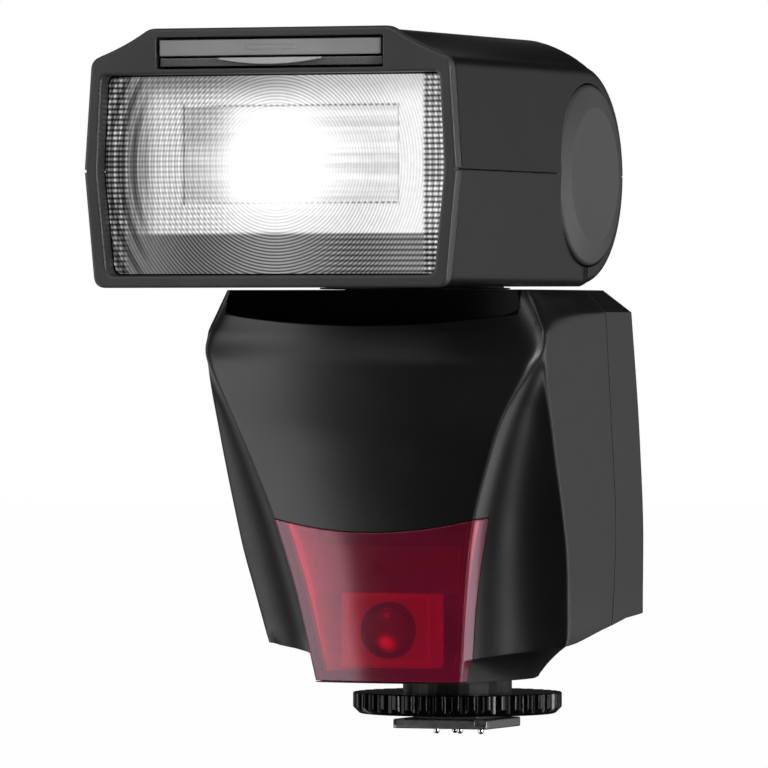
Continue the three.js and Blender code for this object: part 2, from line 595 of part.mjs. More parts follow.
function lockRing() {
  const outline = new THREE.Shape();
  const pitch = (2 * Math.PI) / RING_RIBS;
  for (let i = 0; i < RING_RIBS; i++) {
    const points = [[0, RING_RADIUS], [0.45, RING_RADIUS], [0.62, RING_RADIUS - RIB_DEPTH],
      [0.83, RING_RADIUS - RIB_DEPTH]];
    points.forEach(([share, radius], n) => {
      const turn = (i + share) * pitch;
      const at = [radius * Math.cos(turn), radius * Math.sin(turn)];
      if (i + n === 0) outline.moveTo(...at);
      else outline.lineTo(...at);
    });
  }
  const ribs = prism("z", outline, RING_BOTTOM, RING_TOP);
  const bevel = [[0, RING_BOTTOM], [RING_RADIUS - 1.2, RING_BOTTOM], [RING_RADIUS + 0.2, RING_BOTTOM + 1.2],
    [RING_RADIUS + 0.2, RING_TOP], [0, RING_TOP]];
  const bore = rod("z", COLLAR_RADIUS + 0.35, 0, 9, [0, 0, 0], 32);
  const recess = rod("z", WASHER.radius + 0.6, 0, WASHER.z[1] + 0.4, [0, 0, 0], 32);
  const group = assembly();
  add(group, "lock_ring", cut(ribs.intersect(turned("z", bevel, [0, 0, 0], 40)), bore, recess), "ring");
  const [halfX, halfY] = WASHER.hole;
  const hole = block([-halfX, halfX], [-halfY, halfY], [0, 9]);
  add(group, "clamp_washer", cut(rod("z", WASHER.radius, ...WASHER.z, [0, 0, 0], 32), hole), "steel");
}

// ---------------------------------------------------------------- swivel neck

const tiltCentre = [0, SWIVEL_Y, TILT_Z];

function swivelNeck() {
  const group = assembly();
  const flange = rod("z", FLANGE_RADIUS, BODY_TOP + 0.15, BODY_TOP + 0.42, [0, SWIVEL_Y, 0], 40);
  const spigot = rod("z", SPIGOT_RADIUS, 74, BODY_TOP + 0.42, [0, SWIVEL_Y, 0], 32);
  const drum = rod("x", DRUM_RADIUS, -DRUM_HALF_WIDTH, DRUM_HALF_WIDTH, tiltCentre, 40);
  const hollow = rod("x", DRUM_RADIUS - DRUM_WALL, -DRUM_HALF_WIDTH + 2.5, DRUM_HALF_WIDTH - 2.5,
    tiltCentre, 24);
  const waist = block([-DRUM_HALF_WIDTH + 3, DRUM_HALF_WIDTH - 3], [SWIVEL_Y - 8.5, SWIVEL_Y + 8.5],
    [BODY_TOP + 0.3, TILT_Z - 14]);
  const shaftHole = rod("x", SHAFT_RADIUS + 0.3, -FAR, FAR, tiltCentre, 16);
  const cable = rod("z", 5, 60, TILT_Z - 5, [0, SWIVEL_Y, 0], 16);
  const neck = cut(joined(flange, spigot, drum, waist), hollow, shaftHole, cable);
  add(group, "swivel_neck", neck, "inner");
  const retainingRing = tube(
    "z", SPIGOT_RADIUS + 0.2, RETAINING_RING.radius, ...RETAINING_RING.z, [0, SWIVEL_Y, 0], 24);
  add(group, "swivel_retaining_ring", retainingRing, "steel");
  add(group, "tilt_shaft",
    rod("x", SHAFT_RADIUS, -SHAFT_HALF_LENGTH, SHAFT_HALF_LENGTH, tiltCentre, 16), "steel");
}

// ---------------------------------------------------------------- head

// Right half of the head's cross-section from the top middle to the bottom middle.
function headHalf(shrink) {
  const [shoulderX, shoulderZ] = SHOULDER;
  const [cornerX, cornerZ] = LOWER_CORNER;
  const top = HEAD_TOP - shrink;
  const bottom = HEAD_BOTTOM + shrink;
  const crown = new THREE.CubicBezierCurve(
    new THREE.Vector2(CROWN_HALF_WIDTH - shrink * 0.4, top),
    new THREE.Vector2(CROWN_HALF_WIDTH + 2.9 - shrink * 0.5, top - 2.1),
    new THREE.Vector2(shoulderX - 4 - shrink * 0.6, shoulderZ + 1.6 - shrink),
    new THREE.Vector2(shoulderX - 1.4 - shrink * 0.7, shoulderZ + 0.6 - shrink));
  return [
    [0, top],
    ...crown.getPoints(5).map((p) => p.toArray()),
    [shoulderX - 0.4 - shrink, shoulderZ - shrink * 0.8],
    [shoulderX + 0.3 - shrink, shoulderZ - 1.3 - shrink * 0.6],
    [HEAD_HALF_WIDTH - shrink, TILT_Z],
    [cornerX - shrink, cornerZ + shrink * 0.6],
    [cornerX - 0.7 - shrink, HEAD_BOTTOM + 0.6 + shrink * 0.8],
    [cornerX - 2.2 - shrink, bottom],
    [0, bottom],
  ];
}

function headOutline(shrink) {
  const half = headHalf(shrink);
  const other = half.slice(1, -1).reverse().map(([x, z]) => [-x, z]);
  return [...half, ...other];
}

// The rear of the head is the upper outline turned about the tilt axis, cut off flat behind.
function headVolume(shrink, front) {
  const straight = prism("y", headOutline(shrink), front, SWIVEL_Y);
  const upper = headHalf(shrink).filter(([, z]) => z > TILT_Z).map(([x, z]) => [z - TILT_Z, x]);
  const profile = [...upper.map(([r, x]) => [r, x]), [0, HEAD_HALF_WIDTH - shrink]];
  const whole = [...profile.slice().reverse(), ...profile.slice(1, -1).map(([r, x]) => [r, -x]),
    [0, -HEAD_HALF_WIDTH + shrink]];
  const barrel = turned("x", whole, tiltCentre, 40);
  const topQuarter = block([-FAR, FAR], [SWIVEL_Y - 0.01, HEAD_REAR - shrink], [TILT_Z - 0.01, 140]);
  const lowQuarter = block([-FAR, FAR], [SWIVEL_Y - 0.01, HEAD_REAR - shrink],
    [HEAD_BOTTOM + shrink, TILT_Z]);
  const lowBarrel = barrel.intersect(
    rod("x", REAR_RADIUS - shrink, -FAR, FAR, tiltCentre, 40)).intersect(lowQuarter);
  return joined(straight, barrel.intersect(topQuarter), lowBarrel);
}

// The lens opening seen from the front.
function lensOutline(margin) {
  const { topZ, bottomZ, halfTop, halfMid, halfBottom } = LENS;
  const corner = 1.2;
  const right = [[halfTop - corner + margin, topZ + margin], [halfTop + margin, topZ - corner],
    [halfMid + margin, TILT_Z], [halfBottom + margin, bottomZ + corner],
    [halfBottom - corner + margin, bottomZ - margin]];
  return [...right, ...right.slice().reverse().map(([x, z]) => [-x, z])];
}

function headShells(group) {
  const outer = headVolume(0, BEZEL_BACK + 0.2);
  const inner = headVolume(HEAD_WALL, BEZEL_BACK - 5);
  const keepDiscs = joined(...[-1, 1].map((side) => {
    const span = [DISC_FLOOR - 1.6, 40].map((x) => x * side).sort((a, b) => a - b);
    return rod("x", DISC_RADIUS + 2, ...span, tiltCentre, 32);
  }));
  const sideWells = joined(...[-1, 1].map((side) => {
    const span = [DISC_FLOOR, 40].map((x) => x * side).sort((a, b) => a - b);
    return rod("x", DISC_RADIUS + 0.3, ...span, tiltCentre, 40);
  }));
  const stemHole = rod("x", DISC_STEM_RADIUS + 0.4, DISC_FLOOR - 3, DISC_FLOOR + 1, tiltCentre, 16);
  const neckSlot = joined(
    block([-DRUM_HALF_WIDTH - 0.5, DRUM_HALF_WIDTH + 0.5], [SWIVEL_Y - 11.5, 5], [70, 96]),
    block([-DRUM_HALF_WIDTH - 0.5, DRUM_HALF_WIDTH + 0.5], [-12, 5], [80, TILT_Z + 11.5]));
  const panelSlot = block([-SLOT.halfWidth, SLOT.halfWidth], [-FAR * 2, PANEL.back + 1.5],
    [SLOT.bottom, SLOT.top]);
  const whole = cut(outer, cut(inner, keepDiscs), sideWells, stemHole, neckSlot, panelSlot);
  const above = block([-FAR, FAR], [-120, 20], [TILT_Z + SEAM_GAP, 150]);
  const below = block([-FAR, FAR], [-120, 20], [60, TILT_Z - SEAM_GAP]);
  add(group, "head_upper_shell", whole.intersect(above), "shell");
  add(group, "head_lower_shell", whole.intersect(below), "shell");
}

function bezelAndLens(group) {
  const outline = headOutline(-BEZEL_RIM);
  const plate = prism("y", outline, BEZEL_FRONT, BEZEL_BACK);
  const opening = prism("y", lensOutline(0), BEZEL_FRONT - 5, BEZEL_BACK + 5);
  const slot = block([-SLOT.halfWidth, SLOT.halfWidth], [-FAR * 2, -FAR], [SLOT.bottom, SLOT.bezelTop]);
  add(group, "front_bezel", cut(plate, opening, slot), "bezel");
  const lens = prism("y", lensOutline(-0.3), LENS.y, LENS.y + 1.8);
  add(group, "fresnel_lens", lens, "clear");
}

function pullOutPanels(group) {
  const half = SLOT.halfWidth - 0.5;
  const card = joined(
    block([-half, half], [CARD.front, CARD.barBack], [CARD.z[0], CARD.barTop]),
    block([-half, half], [CARD.barBack - 0.5, CARD.back], [CARD.z[0] + 0.4, CARD.z[1] - 0.4]));
  add(group, "bounce_card", card, "button");
  const lip = new THREE.Shape();
  const reach = PANEL.lipHalfWidth;
  lip.moveTo(-reach, PANEL.z[1]);
  lip.lineTo(reach, PANEL.z[1]);
  lip.lineTo(reach - 0.2, PANEL.z[1] - 0.5);
  lip.quadraticCurveTo(0, PANEL.z[0] - 0.2, 0.2 - reach, PANEL.z[1] - 0.5);
  const panel = joined(
    block([-half, half], [PANEL.front, PANEL.back], PANEL.z),
    prism("y", lip, PANEL.lipFront, PANEL.front + 0.1));
  add(group, "wide_panel", panel, "clear");
  add(group, "panel_tray",
    block([-SLOT.halfWidth - 1, SLOT.halfWidth + 1], [TRAY.front, PANEL.back - 2], TRAY.z), "inner");
}

// The reflector's cross-section: a trough that opens to the front, drawn outwards by a margin.
function troughShape(margin) {
  const { mouthY, backY, halfHeight } = TROUGH;
  const [low, high] = [TILT_Z - halfHeight - margin, TILT_Z + halfHeight + margin];
  const [mouth, back] = [mouthY - (margin > 0 ? 0 : 2), backY + margin];
  const shape = new THREE.Shape();
  shape.moveTo(mouth, low);
  shape.quadraticCurveTo(back - 4, low, back, TILT_Z);
  shape.quadraticCurveTo(back - 4, high, mouth, high);
  return shape;
}

function zoomUnit(group) {
  const { mouthY, backY, halfWidth, tubeY, wall } = TROUGH;
  const trough = prism("x", troughShape(wall), -halfWidth, halfWidth);
  const hollow = prism("x", troughShape(0), -halfWidth + wall, halfWidth - wall);
  const tubeHole = rod("x", LAMP_TUBE.radius + 0.5, -30, 30, [0, tubeY, TILT_Z], 12);
  add(group, "reflector", cut(trough, hollow, tubeHole), "mirror");
  const { radius, endRadius, shoulder, end } = LAMP_TUBE;
  const half = [[radius, shoulder], [endRadius, shoulder + 0.5], [endRadius, end], [0, end]];
  const lampTube = [...half.map(([r, x]) => [r, -x]).reverse(), ...half];
  add(group, "flash_tube", turned("x", lampTube, [0, tubeY, TILT_Z], 12), "clear");
  const plateY = [backY + 4, backY + 6];
  const back = block([-CARRIAGE.halfWidth, CARRIAGE.halfWidth], plateY, [SCREW.z - 2.6, CARRIAGE.top]);
  const arms = [-1, 1].map((side) => {
    const span = CARRIAGE.armX.map((x) => x * side).sort((a, b) => a - b);
    return block(span, [mouthY + 2, plateY[0] + 1], CARRIAGE.armZ);
  });
  const rodHoles = [-1, 1].map((side) =>
    rod("y", GUIDE.radius + 0.4, -FAR, -40, [side * GUIDE.x, 0, TILT_Z], 12));
  const screwHole = rod("y", SCREW.crest + 0.35, -FAR, -40, [SCREW.x, 0, SCREW.z], 12);
  const tubeSlot = block([-40, 40], [mouthY, tubeY + 3], [TILT_Z - 3, TILT_Z + 3]);
  add(group, "zoom_carriage", cut(joined(back, ...arms), ...rodHoles, screwHole, tubeSlot), "inner");
  for (const side of [-1, 1]) {
    add(group, side < 0 ? "guide_rod_left" : "guide_rod_right",
      rod("y", GUIDE.radius, GUIDE.start, GUIDE.end, [side * GUIDE.x, 0, TILT_Z], 12), "steel");
  }
  const screw = [[0, SCREW.start]];
  for (let y = SCREW.start; y < SCREW.end; y += SCREW.pitch) {
    screw.push([SCREW.root, y]);
    screw.push([SCREW.crest, y + SCREW.pitch / 2]);
  }
  screw.push([SCREW.root, SCREW.end]);
  screw.push([0, SCREW.end]);
  add(group, "lead_screw", turned("y", screw, [SCREW.x, 0, SCREW.z], 8), "brass");
  add(group, "zoom_motor",
    rod("y", MOTOR.radius, SCREW.end + 0.4, MOTOR.end, [SCREW.x, 0, SCREW.z], 20), "steel");
}

function tiltParts(group) {
  add(group, "tilt_click_plate",
    tube("x", SHAFT_RADIUS + 0.4, CLICK_PLATE.radius, ...CLICK_PLATE.x, tiltCentre, 24), "steel");
  const dish = [[0, DISC_FACE - 0.16], [11.3, DISC_FACE - 0.06], [11.9, DISC_FACE], [12.3, DISC_FACE - 0.05],
    [DISC_RADIUS - 0.6, DISC_FACE - 0.8], [DISC_RADIUS - 0.2, DISC_FACE - 1], [DISC_RADIUS, DISC_FACE - 1.3]];
  const gap = DISC_TRAVEL + 0.2;
  const rear = DISC_FLOOR + gap;
  const pressed = [[0, DISC_FLOOR - 4], [DISC_STEM_RADIUS, DISC_FLOOR - 4], [DISC_STEM_RADIUS, rear],
    [DISC_RADIUS, rear]];
  add(group, "tilt_release_button",
    turned("x", [...pressed, ...dish.slice().reverse()], tiltCentre, 40), "disc");
  const back = DISC_FLOOR + 0.1;
  const cap = [[0, back], [DISC_RADIUS, back], ...dish.slice().reverse()];
  add(group, "pivot_cap", mirrored(turned("x", cap, tiltCentre, 40)), "disc");
}

function head() {
  const group = assembly();
  headShells(group);
  bezelAndLens(group);
  pullOutPanels(group);
  zoomUnit(group);
  tiltParts(group);
}

bodyShells();
focusLamp();
batteries();
batteryDoor();
electronics();
rearControls();
foot();
lockRing();
swivelNeck();
head();

export default flash;
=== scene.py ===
"""Looks of a shoe-mount speedlight flash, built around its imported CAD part.

Fine shells stand for the faceted CAD solids. Outlines and solids are made in millimetres and scaled
to metres when they become pieces. The lamp faces -Y and +X is the side of the tilt release disc.
"""
import json
import math

import bmesh
import bpy
import numpy as np
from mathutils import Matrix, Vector


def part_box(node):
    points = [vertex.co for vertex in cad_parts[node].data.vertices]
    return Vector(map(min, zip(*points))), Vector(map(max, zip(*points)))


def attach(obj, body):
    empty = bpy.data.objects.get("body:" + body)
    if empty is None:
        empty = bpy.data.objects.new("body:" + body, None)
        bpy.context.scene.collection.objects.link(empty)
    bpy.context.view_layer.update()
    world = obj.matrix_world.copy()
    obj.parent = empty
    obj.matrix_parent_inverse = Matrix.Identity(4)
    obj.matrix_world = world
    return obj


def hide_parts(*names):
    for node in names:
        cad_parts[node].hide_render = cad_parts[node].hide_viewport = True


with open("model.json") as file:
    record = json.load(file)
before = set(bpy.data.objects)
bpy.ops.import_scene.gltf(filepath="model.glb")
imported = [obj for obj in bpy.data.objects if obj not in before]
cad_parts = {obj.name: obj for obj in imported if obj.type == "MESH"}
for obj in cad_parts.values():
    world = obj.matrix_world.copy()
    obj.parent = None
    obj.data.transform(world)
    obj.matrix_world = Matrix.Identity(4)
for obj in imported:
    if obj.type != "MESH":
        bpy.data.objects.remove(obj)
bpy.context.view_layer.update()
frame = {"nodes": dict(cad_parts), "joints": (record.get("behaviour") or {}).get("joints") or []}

MM = 0.001
FAR = 120.0

# ---- sizes from the frame


def box(node):
    """Lowest and highest corner of a CAD node in millimetres."""
    low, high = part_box(node)
    return np.array(low) / MM, np.array(high) / MM


def span(node, axis):
    low, high = box(node)
    return low["xyz".index(axis)], high["xyz".index(axis)]


def centre_and_size(node):
    low, high = box(node)
    return (low + high) / 2, high - low


def round_node(node):
    """A point on the axis, the radius and both ends of a round CAD node that faces along Y."""
    centre, size = centre_and_size(node)
    return (centre[0], 0, centre[2]), size[0] / 2, *span(node, "y")


JOINTS = {joint["name"]: joint for joint in frame["joints"]}
SWIVEL_Y = JOINTS["head_swivel"]["pos_m"][1] / MM
TILT_Z = JOINTS["head_tilt"]["pos_m"][2] / MM
TILT_CENTRE = (0, SWIVEL_Y, TILT_Z)
BODY_BOTTOM, BODY_TOP = span("front_shell", "z")
BODY_HALF_WIDTH = span("rear_shell", "x")[1]
HEAD_TOP = span("head_upper_shell", "z")[1]
HEAD_BOTTOM = span("head_lower_shell", "z")[0]
HEAD_FRONT, HEAD_REAR = span("head_upper_shell", "y")
HEAD_HALF_WIDTH = span("head_upper_shell", "x")[1]

# ---- shape of the body, in millimetres

# Height, half width and depth of the ridge that bounds the front face
RIDGE = [[9.3, 14.1, -34.1], [24.5, 16.3, -37.5], [38.3, 19.2, -41.1], [48.5, 22.6, -43.2],
         [56.7, 25.9, -44.5], [66, 30.7, -43.6], [71.5, 32.7, -41.6], [80, 32.6, -40.6]]
# Height, half width and depth of the front edge of the side face
SIDE_EDGE = [[9.3, 27.6, -19.5], [16.6, 29.3, -20.5], [24, 30.4, -23], [35, 31.7, -27.4],
             [54.8, 32.4, -35.9], [66, 32.7, -40], [71.5, 33, -40.5], [80, 33, -39]]
# Height and depth of the rear edge of the side face, and of the seam between the shells
REAR_EDGE = [[9.3, 8.4], [22, 8.4], [34.4, 8.65], [52, 6.9], [76, 2.35], [80, 1.5]]
SEAM = [[0, -3.8], [19, -3.8], [34.6, -4.1], [54.5, -6.9], [76, -10.7], [90, -13.2]]
# Height and forward bulge of the front face
BULGE = [[9.3, 2], [38.3, 2.6], [56.7, 3.4], [66, 5.2], [72, 7], [80, 7.4]]
# How far the flank is hollowed: 1 is fully hollow, 0 is a plain rounded corner
HOLLOW = [[9.3, 1], [58, 1], [66, 0.75], [71, 0], [80, 0]]
# Height and size of the soft corner along the ridge and along the side face's front edge
RIDGE_SOFTNESS = [[9.3, 0.5], [38, 0.6], [58, 0.8], [66, 1.2], [70, 2.4], [74, 4.5], [80, 6]]
EDGE_SOFTNESS = [[9.3, 0.6], [38, 0.5], [64, 0.6], [69, 1.5], [72, 3], [80, 5]]
REAR_CORNER = 2
CHAMFER_DEPTH = 3.8
FRONT_CHAMFER = 0.5
PEDESTAL_RADIUS = 14.8
WALL = 1.8
WINDOW_WALL = 1.6
SEAM_GAP = 0.16
HEAD_SEAM_GAP = 0.08
FIT = 0.15
SCOOP = {"half_width": 32, "depth": 11.2, "centre": -50, "floor": 73.6, "curve": 0.00266,
         "squareness": 0.55}
# Distance from the middle and height of the scoop's floor. "curve" above is its middle as a parabola
SCOOP_FLOOR = [[0, 73.6], [12, 74.1], [20, 74.7], [26, 75.4], [28, 76.3], [28.9, 77.4], [29.5, 79], [32, 92]]
WINDOW = {"bottom": 9.6, "top": 36.5, "rise": 2.7, "half_width": 20.6, "back_top": -37.4,
          "back_bottom": -31}
DOOR = {"y": (-28, -1.4), "z": (38, 71), "knuckle": 1.25, "catch_face": -33.1}

# ---- shape of the head

# Curve from the flat top to the shoulder: x, z, how far x moves in with each millimetre of shrink, and how
# far x and z move out with the fullness
CROWN = [[22.6, HEAD_TOP, 0.4, 0, 0], [25.5, HEAD_TOP - 2.1, 0.5, 0.8, 1.2], [29, 121.3, 0.6, 0.6, 1],
         [31.6, 120.32, 0.7, 0, 0.2]]
SHOULDER = (33.35, 119.6)
LOWER_CORNER_X = 32.75
REAR_RADIUS = 20.1
HEAD_WALL = 1.6
HEAD_RIM = 0.7
# Room for the neck's drum: X range, then Y and Z ranges below the head and behind it
NECK_SLOT = {"x": (-17.5, 17.5), "below": ((SWIVEL_Y - 11.5, 5), (70, 96)),
             "behind": ((-12, 5), (80, TILT_Z + 11.5))}
DISC_RADIUS = 16.2
LENS = {"top": 117.4, "bottom": 82.3, "half_top": 31.8, "half_middle": 32.7, "half_bottom": 30.8}
SLOT = {"half_width": 21.4, "bottom": 118.3, "top": 122.7, "front_top": 123.9}

# ---- curves and outlines


def along(rows, key, column=1):
    """Value in a table of [key, value, value...] rows, on a smooth curve that never overshoots."""
    keys = [row[0] for row in rows]
    values = [row[column] for row in rows]
    if key <= keys[0]:
        return values[0]
    if key >= keys[-1]:
        return values[-1]
    slopes = [(v1 - v0) / (k1 - k0) for k0, k1, v0, v1
              in zip(keys, keys[1:], values, values[1:])]
    tangents = [slopes[0]]
    for before, after in zip(slopes, slopes[1:]):
        tangents.append(0 if before * after <= 0 else 2 * before * after / (before + after))
    tangents.append(slopes[-1])
    i = next(n for n in range(len(keys) - 1) if key <= keys[n + 1])
    width = keys[i + 1] - keys[i]
    t = (key - keys[i]) / width
    return (values[i] * (1 + 2 * t) * (1 - t) ** 2 + tangents[i] * width * t * (1 - t) ** 2
            + values[i + 1] * t * t * (3 - 2 * t) - tangents[i + 1] * width * t * t * (1 - t))


def lerp(a, b, share):
    return a + (b - a) * share


def clamp(value, low=0.0, high=1.0):
    return min(max(value, low), high)


def bezier(points, steps):
    """Points on a quadratic or cubic Bezier curve, both ends included."""
    made = []
    for i in range(steps + 1):
        level = [np.array(p, float) for p in points]
        while len(level) > 1:
            level = [lerp(a, b, i / steps) for a, b in zip(level, level[1:])]
        made.append(level[0])
    return made


def softened(corners, steps=5):
    """An outline through (x, y, size) corners, each rounded over size on both of its sides."""
    made = []
    count = len(corners)
    for i, corner in enumerate(corners):
        here = np.array(corner[:2], float)
        size = corner[2] if len(corner) > 2 else 0
        if size == 0:
            made.append(here)
            continue
        ends = []
        for other in (corners[i - 1], corners[(i + 1) % count]):
            way = np.array(other[:2], float) - here
            ends.append(here + way / np.linalg.norm(way) * size)
        made.extend(bezier([ends[0], here, ends[1]], steps))
    return made


def rounded_box(width, height, size, centre=(0, 0)):
    w, h = width / 2, height / 2
    corners = [(-w, -h, size), (w, -h, size), (w, h, size), (-w, h, size)]
    return [p + np.array(centre) for p in softened(corners)]


def inset(points, distance):
    """Each point of a counter-clockwise outline moved inwards by the distance from both its edges."""
    made = []
    count = len(points)
    for i in range(count):
        here = np.array(points[i], float)
        normals = []
        for a, b in ((points[i - 1], here), (here, points[(i + 1) % count])):
            way = np.array(b, float) - np.array(a, float)
            way /= np.linalg.norm(way)
            normals.append(np.array([-way[1], way[0]]))
        middle = normals[0] + normals[1]
        middle /= np.linalg.norm(middle)
        made.append(here + middle * distance / max(middle @ normals[0], 0.5))
    return made


def counter_clockwise(points):
    area = sum(a[0] * b[1] - b[0] * a[1] for a, b in zip(points, list(points[1:]) + [points[0]]))
    return list(points) if area > 0 else list(points)[::-1]


def sided(side, near, far):
    """A range on the +X side (side is 1) or mirrored to the -X side (side is -1)."""
    return sorted((side * near, side * far))


def rim(radius, steps=4):
    """Inset and depth of the steps that round a rim, from its flat face to its side."""
    return [(radius * (1 - math.sin(turn)), radius * (1 - math.cos(turn)))
            for turn in np.linspace(0, math.pi / 2, steps + 1)]


# ---- solids, in millimetres


def linked(name, data):
    made = bpy.data.objects.new(name, data)
    bpy.context.scene.collection.objects.link(made)
    return made


def solid(vertices, faces):
    """A closed mesh object with its faces pointing out. Faces that collapse are dropped or lose a corner."""
    numbers = {}
    kept = []
    renamed = []
    for vertex in vertices:
        key = tuple(np.round(vertex, 5))
        if key not in numbers:
            numbers[key] = len(kept)
            kept.append(tuple(map(float, vertex)))
        renamed.append(numbers[key])
    clean = []
    for face in faces:
        corners = [renamed[i] for i in face]
        corners = [c for i, c in enumerate(corners) if c != corners[i - 1]]
        if len(set(corners)) > 2:
            clean.append(corners)
    mesh = bpy.data.meshes.new("solid")
    mesh.from_pydata(kept, [], clean)
    made = bmesh.new()
    made.from_mesh(mesh)
    bmesh.ops.remove_doubles(made, verts=made.verts, dist=1e-4)
    bmesh.ops.recalc_face_normals(made, faces=made.faces)
    if made.calc_volume(signed=True) < 0:
        bmesh.ops.reverse_faces(made, faces=made.faces)
    made.to_mesh(mesh)
    made.free()
    return linked("solid", mesh)


def loft(rings):
    """A skin over rings of the same number of 3-D points, closed by a flat face at each end."""
    count = len(rings[0])
    vertices = [point for ring in rings for point in ring]
    faces = [tuple(range(count))[::-1], tuple(range(len(vertices) - count, len(vertices)))]
    for start in range(0, len(vertices) - count, count):
        for i in range(count):
            a, b = start + i, start + (i + 1) % count
            faces.append((a, b, b + count, a + count))
    return solid(vertices, faces)


def raised(axis, outline, height):
    """An outline in (y, z), (x, z) or (x, y) at a place along the axis."""
    place = {"x": lambda u, v: (height, u, v), "y": lambda u, v: (u, height, v),
             "z": lambda u, v: (u, v, height)}[axis]
    return [place(u, v) for u, v in outline]


def prism(axis, outline, start, end, soft_start=0, soft_end=0):
    """An outline pushed along an axis, with its rims rounded by the soft radii."""
    outline = counter_clockwise(outline)
    rings = []
    for radius, place, way in ((soft_start, start, 1), (soft_end, end, -1)):
        steps = rim(radius) if radius else [(0, 0)]
        ends = [raised(axis, inset(outline, inward) if radius else outline, place + way * depth)
                for inward, depth in steps]
        rings.extend(ends[::way])
    return loft(rings)


def block(x, y, z):
    corners = [(x[0], y[0]), (x[1], y[0]), (x[1], y[1]), (x[0], y[1])]
    return prism("z", corners, *z)


def turned(axis, profile, centre=(0, 0, 0), segments=96):
    """A profile of (radius, distance along the axis) turned about a line parallel to the axis."""
    place = {"x": lambda c, s, t: (t, c, s), "y": lambda c, s, t: (c, t, s),
             "z": lambda c, s, t: (c, s, t)}[axis]
    vertices = []
    for radius, distance in profile:
        for turn in np.arange(segments) * 2 * math.pi / segments:
            point = place(radius * math.cos(turn), radius * math.sin(turn), distance)
            vertices.append(np.add(point, centre))
    rows = len(profile)
    faces = []
    for row in range(rows if profile[0][0] > 0 else rows - 1):
        a, b = row * segments, (row + 1) % rows * segments
        for i in range(segments):
            n = (i + 1) % segments
            faces.append((a + i, a + n, b + n, b + i))
    return solid(vertices, faces)


def rod(axis, radius, start, end, centre=(0, 0, 0), segments=64):
    return turned(axis, [(0, start), (radius, start), (radius, end), (0, end)], centre, segments)


def combined(base, operation, tools):
    """Cuts, joins or intersects the base with each tool in turn, and uses the tools up."""
    for tool in tools:
        modifier = base.modifiers.new("boolean", "BOOLEAN")
        modifier.operation = operation
        modifier.solver = "MANIFOLD"
        modifier.object = tool
        evaluated = base.evaluated_get(bpy.context.evaluated_depsgraph_get())
        mesh = bpy.data.meshes.new_from_object(evaluated)
        if not mesh.polygons:
            raise RuntimeError(f"a {operation.lower()} left nothing")
        base.modifiers.clear()
        base.data = mesh
        bpy.data.objects.remove(tool)
    return base


def cut(base, *tools):
    return combined(base, "DIFFERENCE", tools)


def joined(base, *tools):
    return combined(base, "UNION", tools)


def common(base, *tools):
    return combined(base, "INTERSECT", tools)


def copied(made):
    return linked(made.name, made.data.copy())


# ---- pieces


def piece(made, name, material, body, stands_for=(), sharp=32):
    """Turns a solid into a named piece in metres that rides on a body of the frame."""
    mesh = made.data
    mesh.name = name
    made.name = name
    scaled = bmesh.new()
    scaled.from_mesh(mesh)
    bmesh.ops.dissolve_degenerate(scaled, dist=1e-4, edges=scaled.edges)
    bmesh.ops.scale(scaled, vec=(MM, MM, MM), verts=scaled.verts)
    scaled.to_mesh(mesh)
    scaled.free()
    mesh.shade_smooth()
    mesh.set_sharp_from_angle(angle=math.radians(sharp))
    mesh.materials.clear()
    mesh.materials.append(material)
    even = made.modifiers.new("even_shading", "WEIGHTED_NORMAL")
    even.keep_sharp = True
    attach(made, body)
    if stands_for:
        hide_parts(*stands_for)


def stand_in(made, node, material, body, sharp=32):
    """A piece that stands for one CAD node and is named after it."""
    piece(made, node + "_fine", material, body, [node], sharp)


# ---- materials


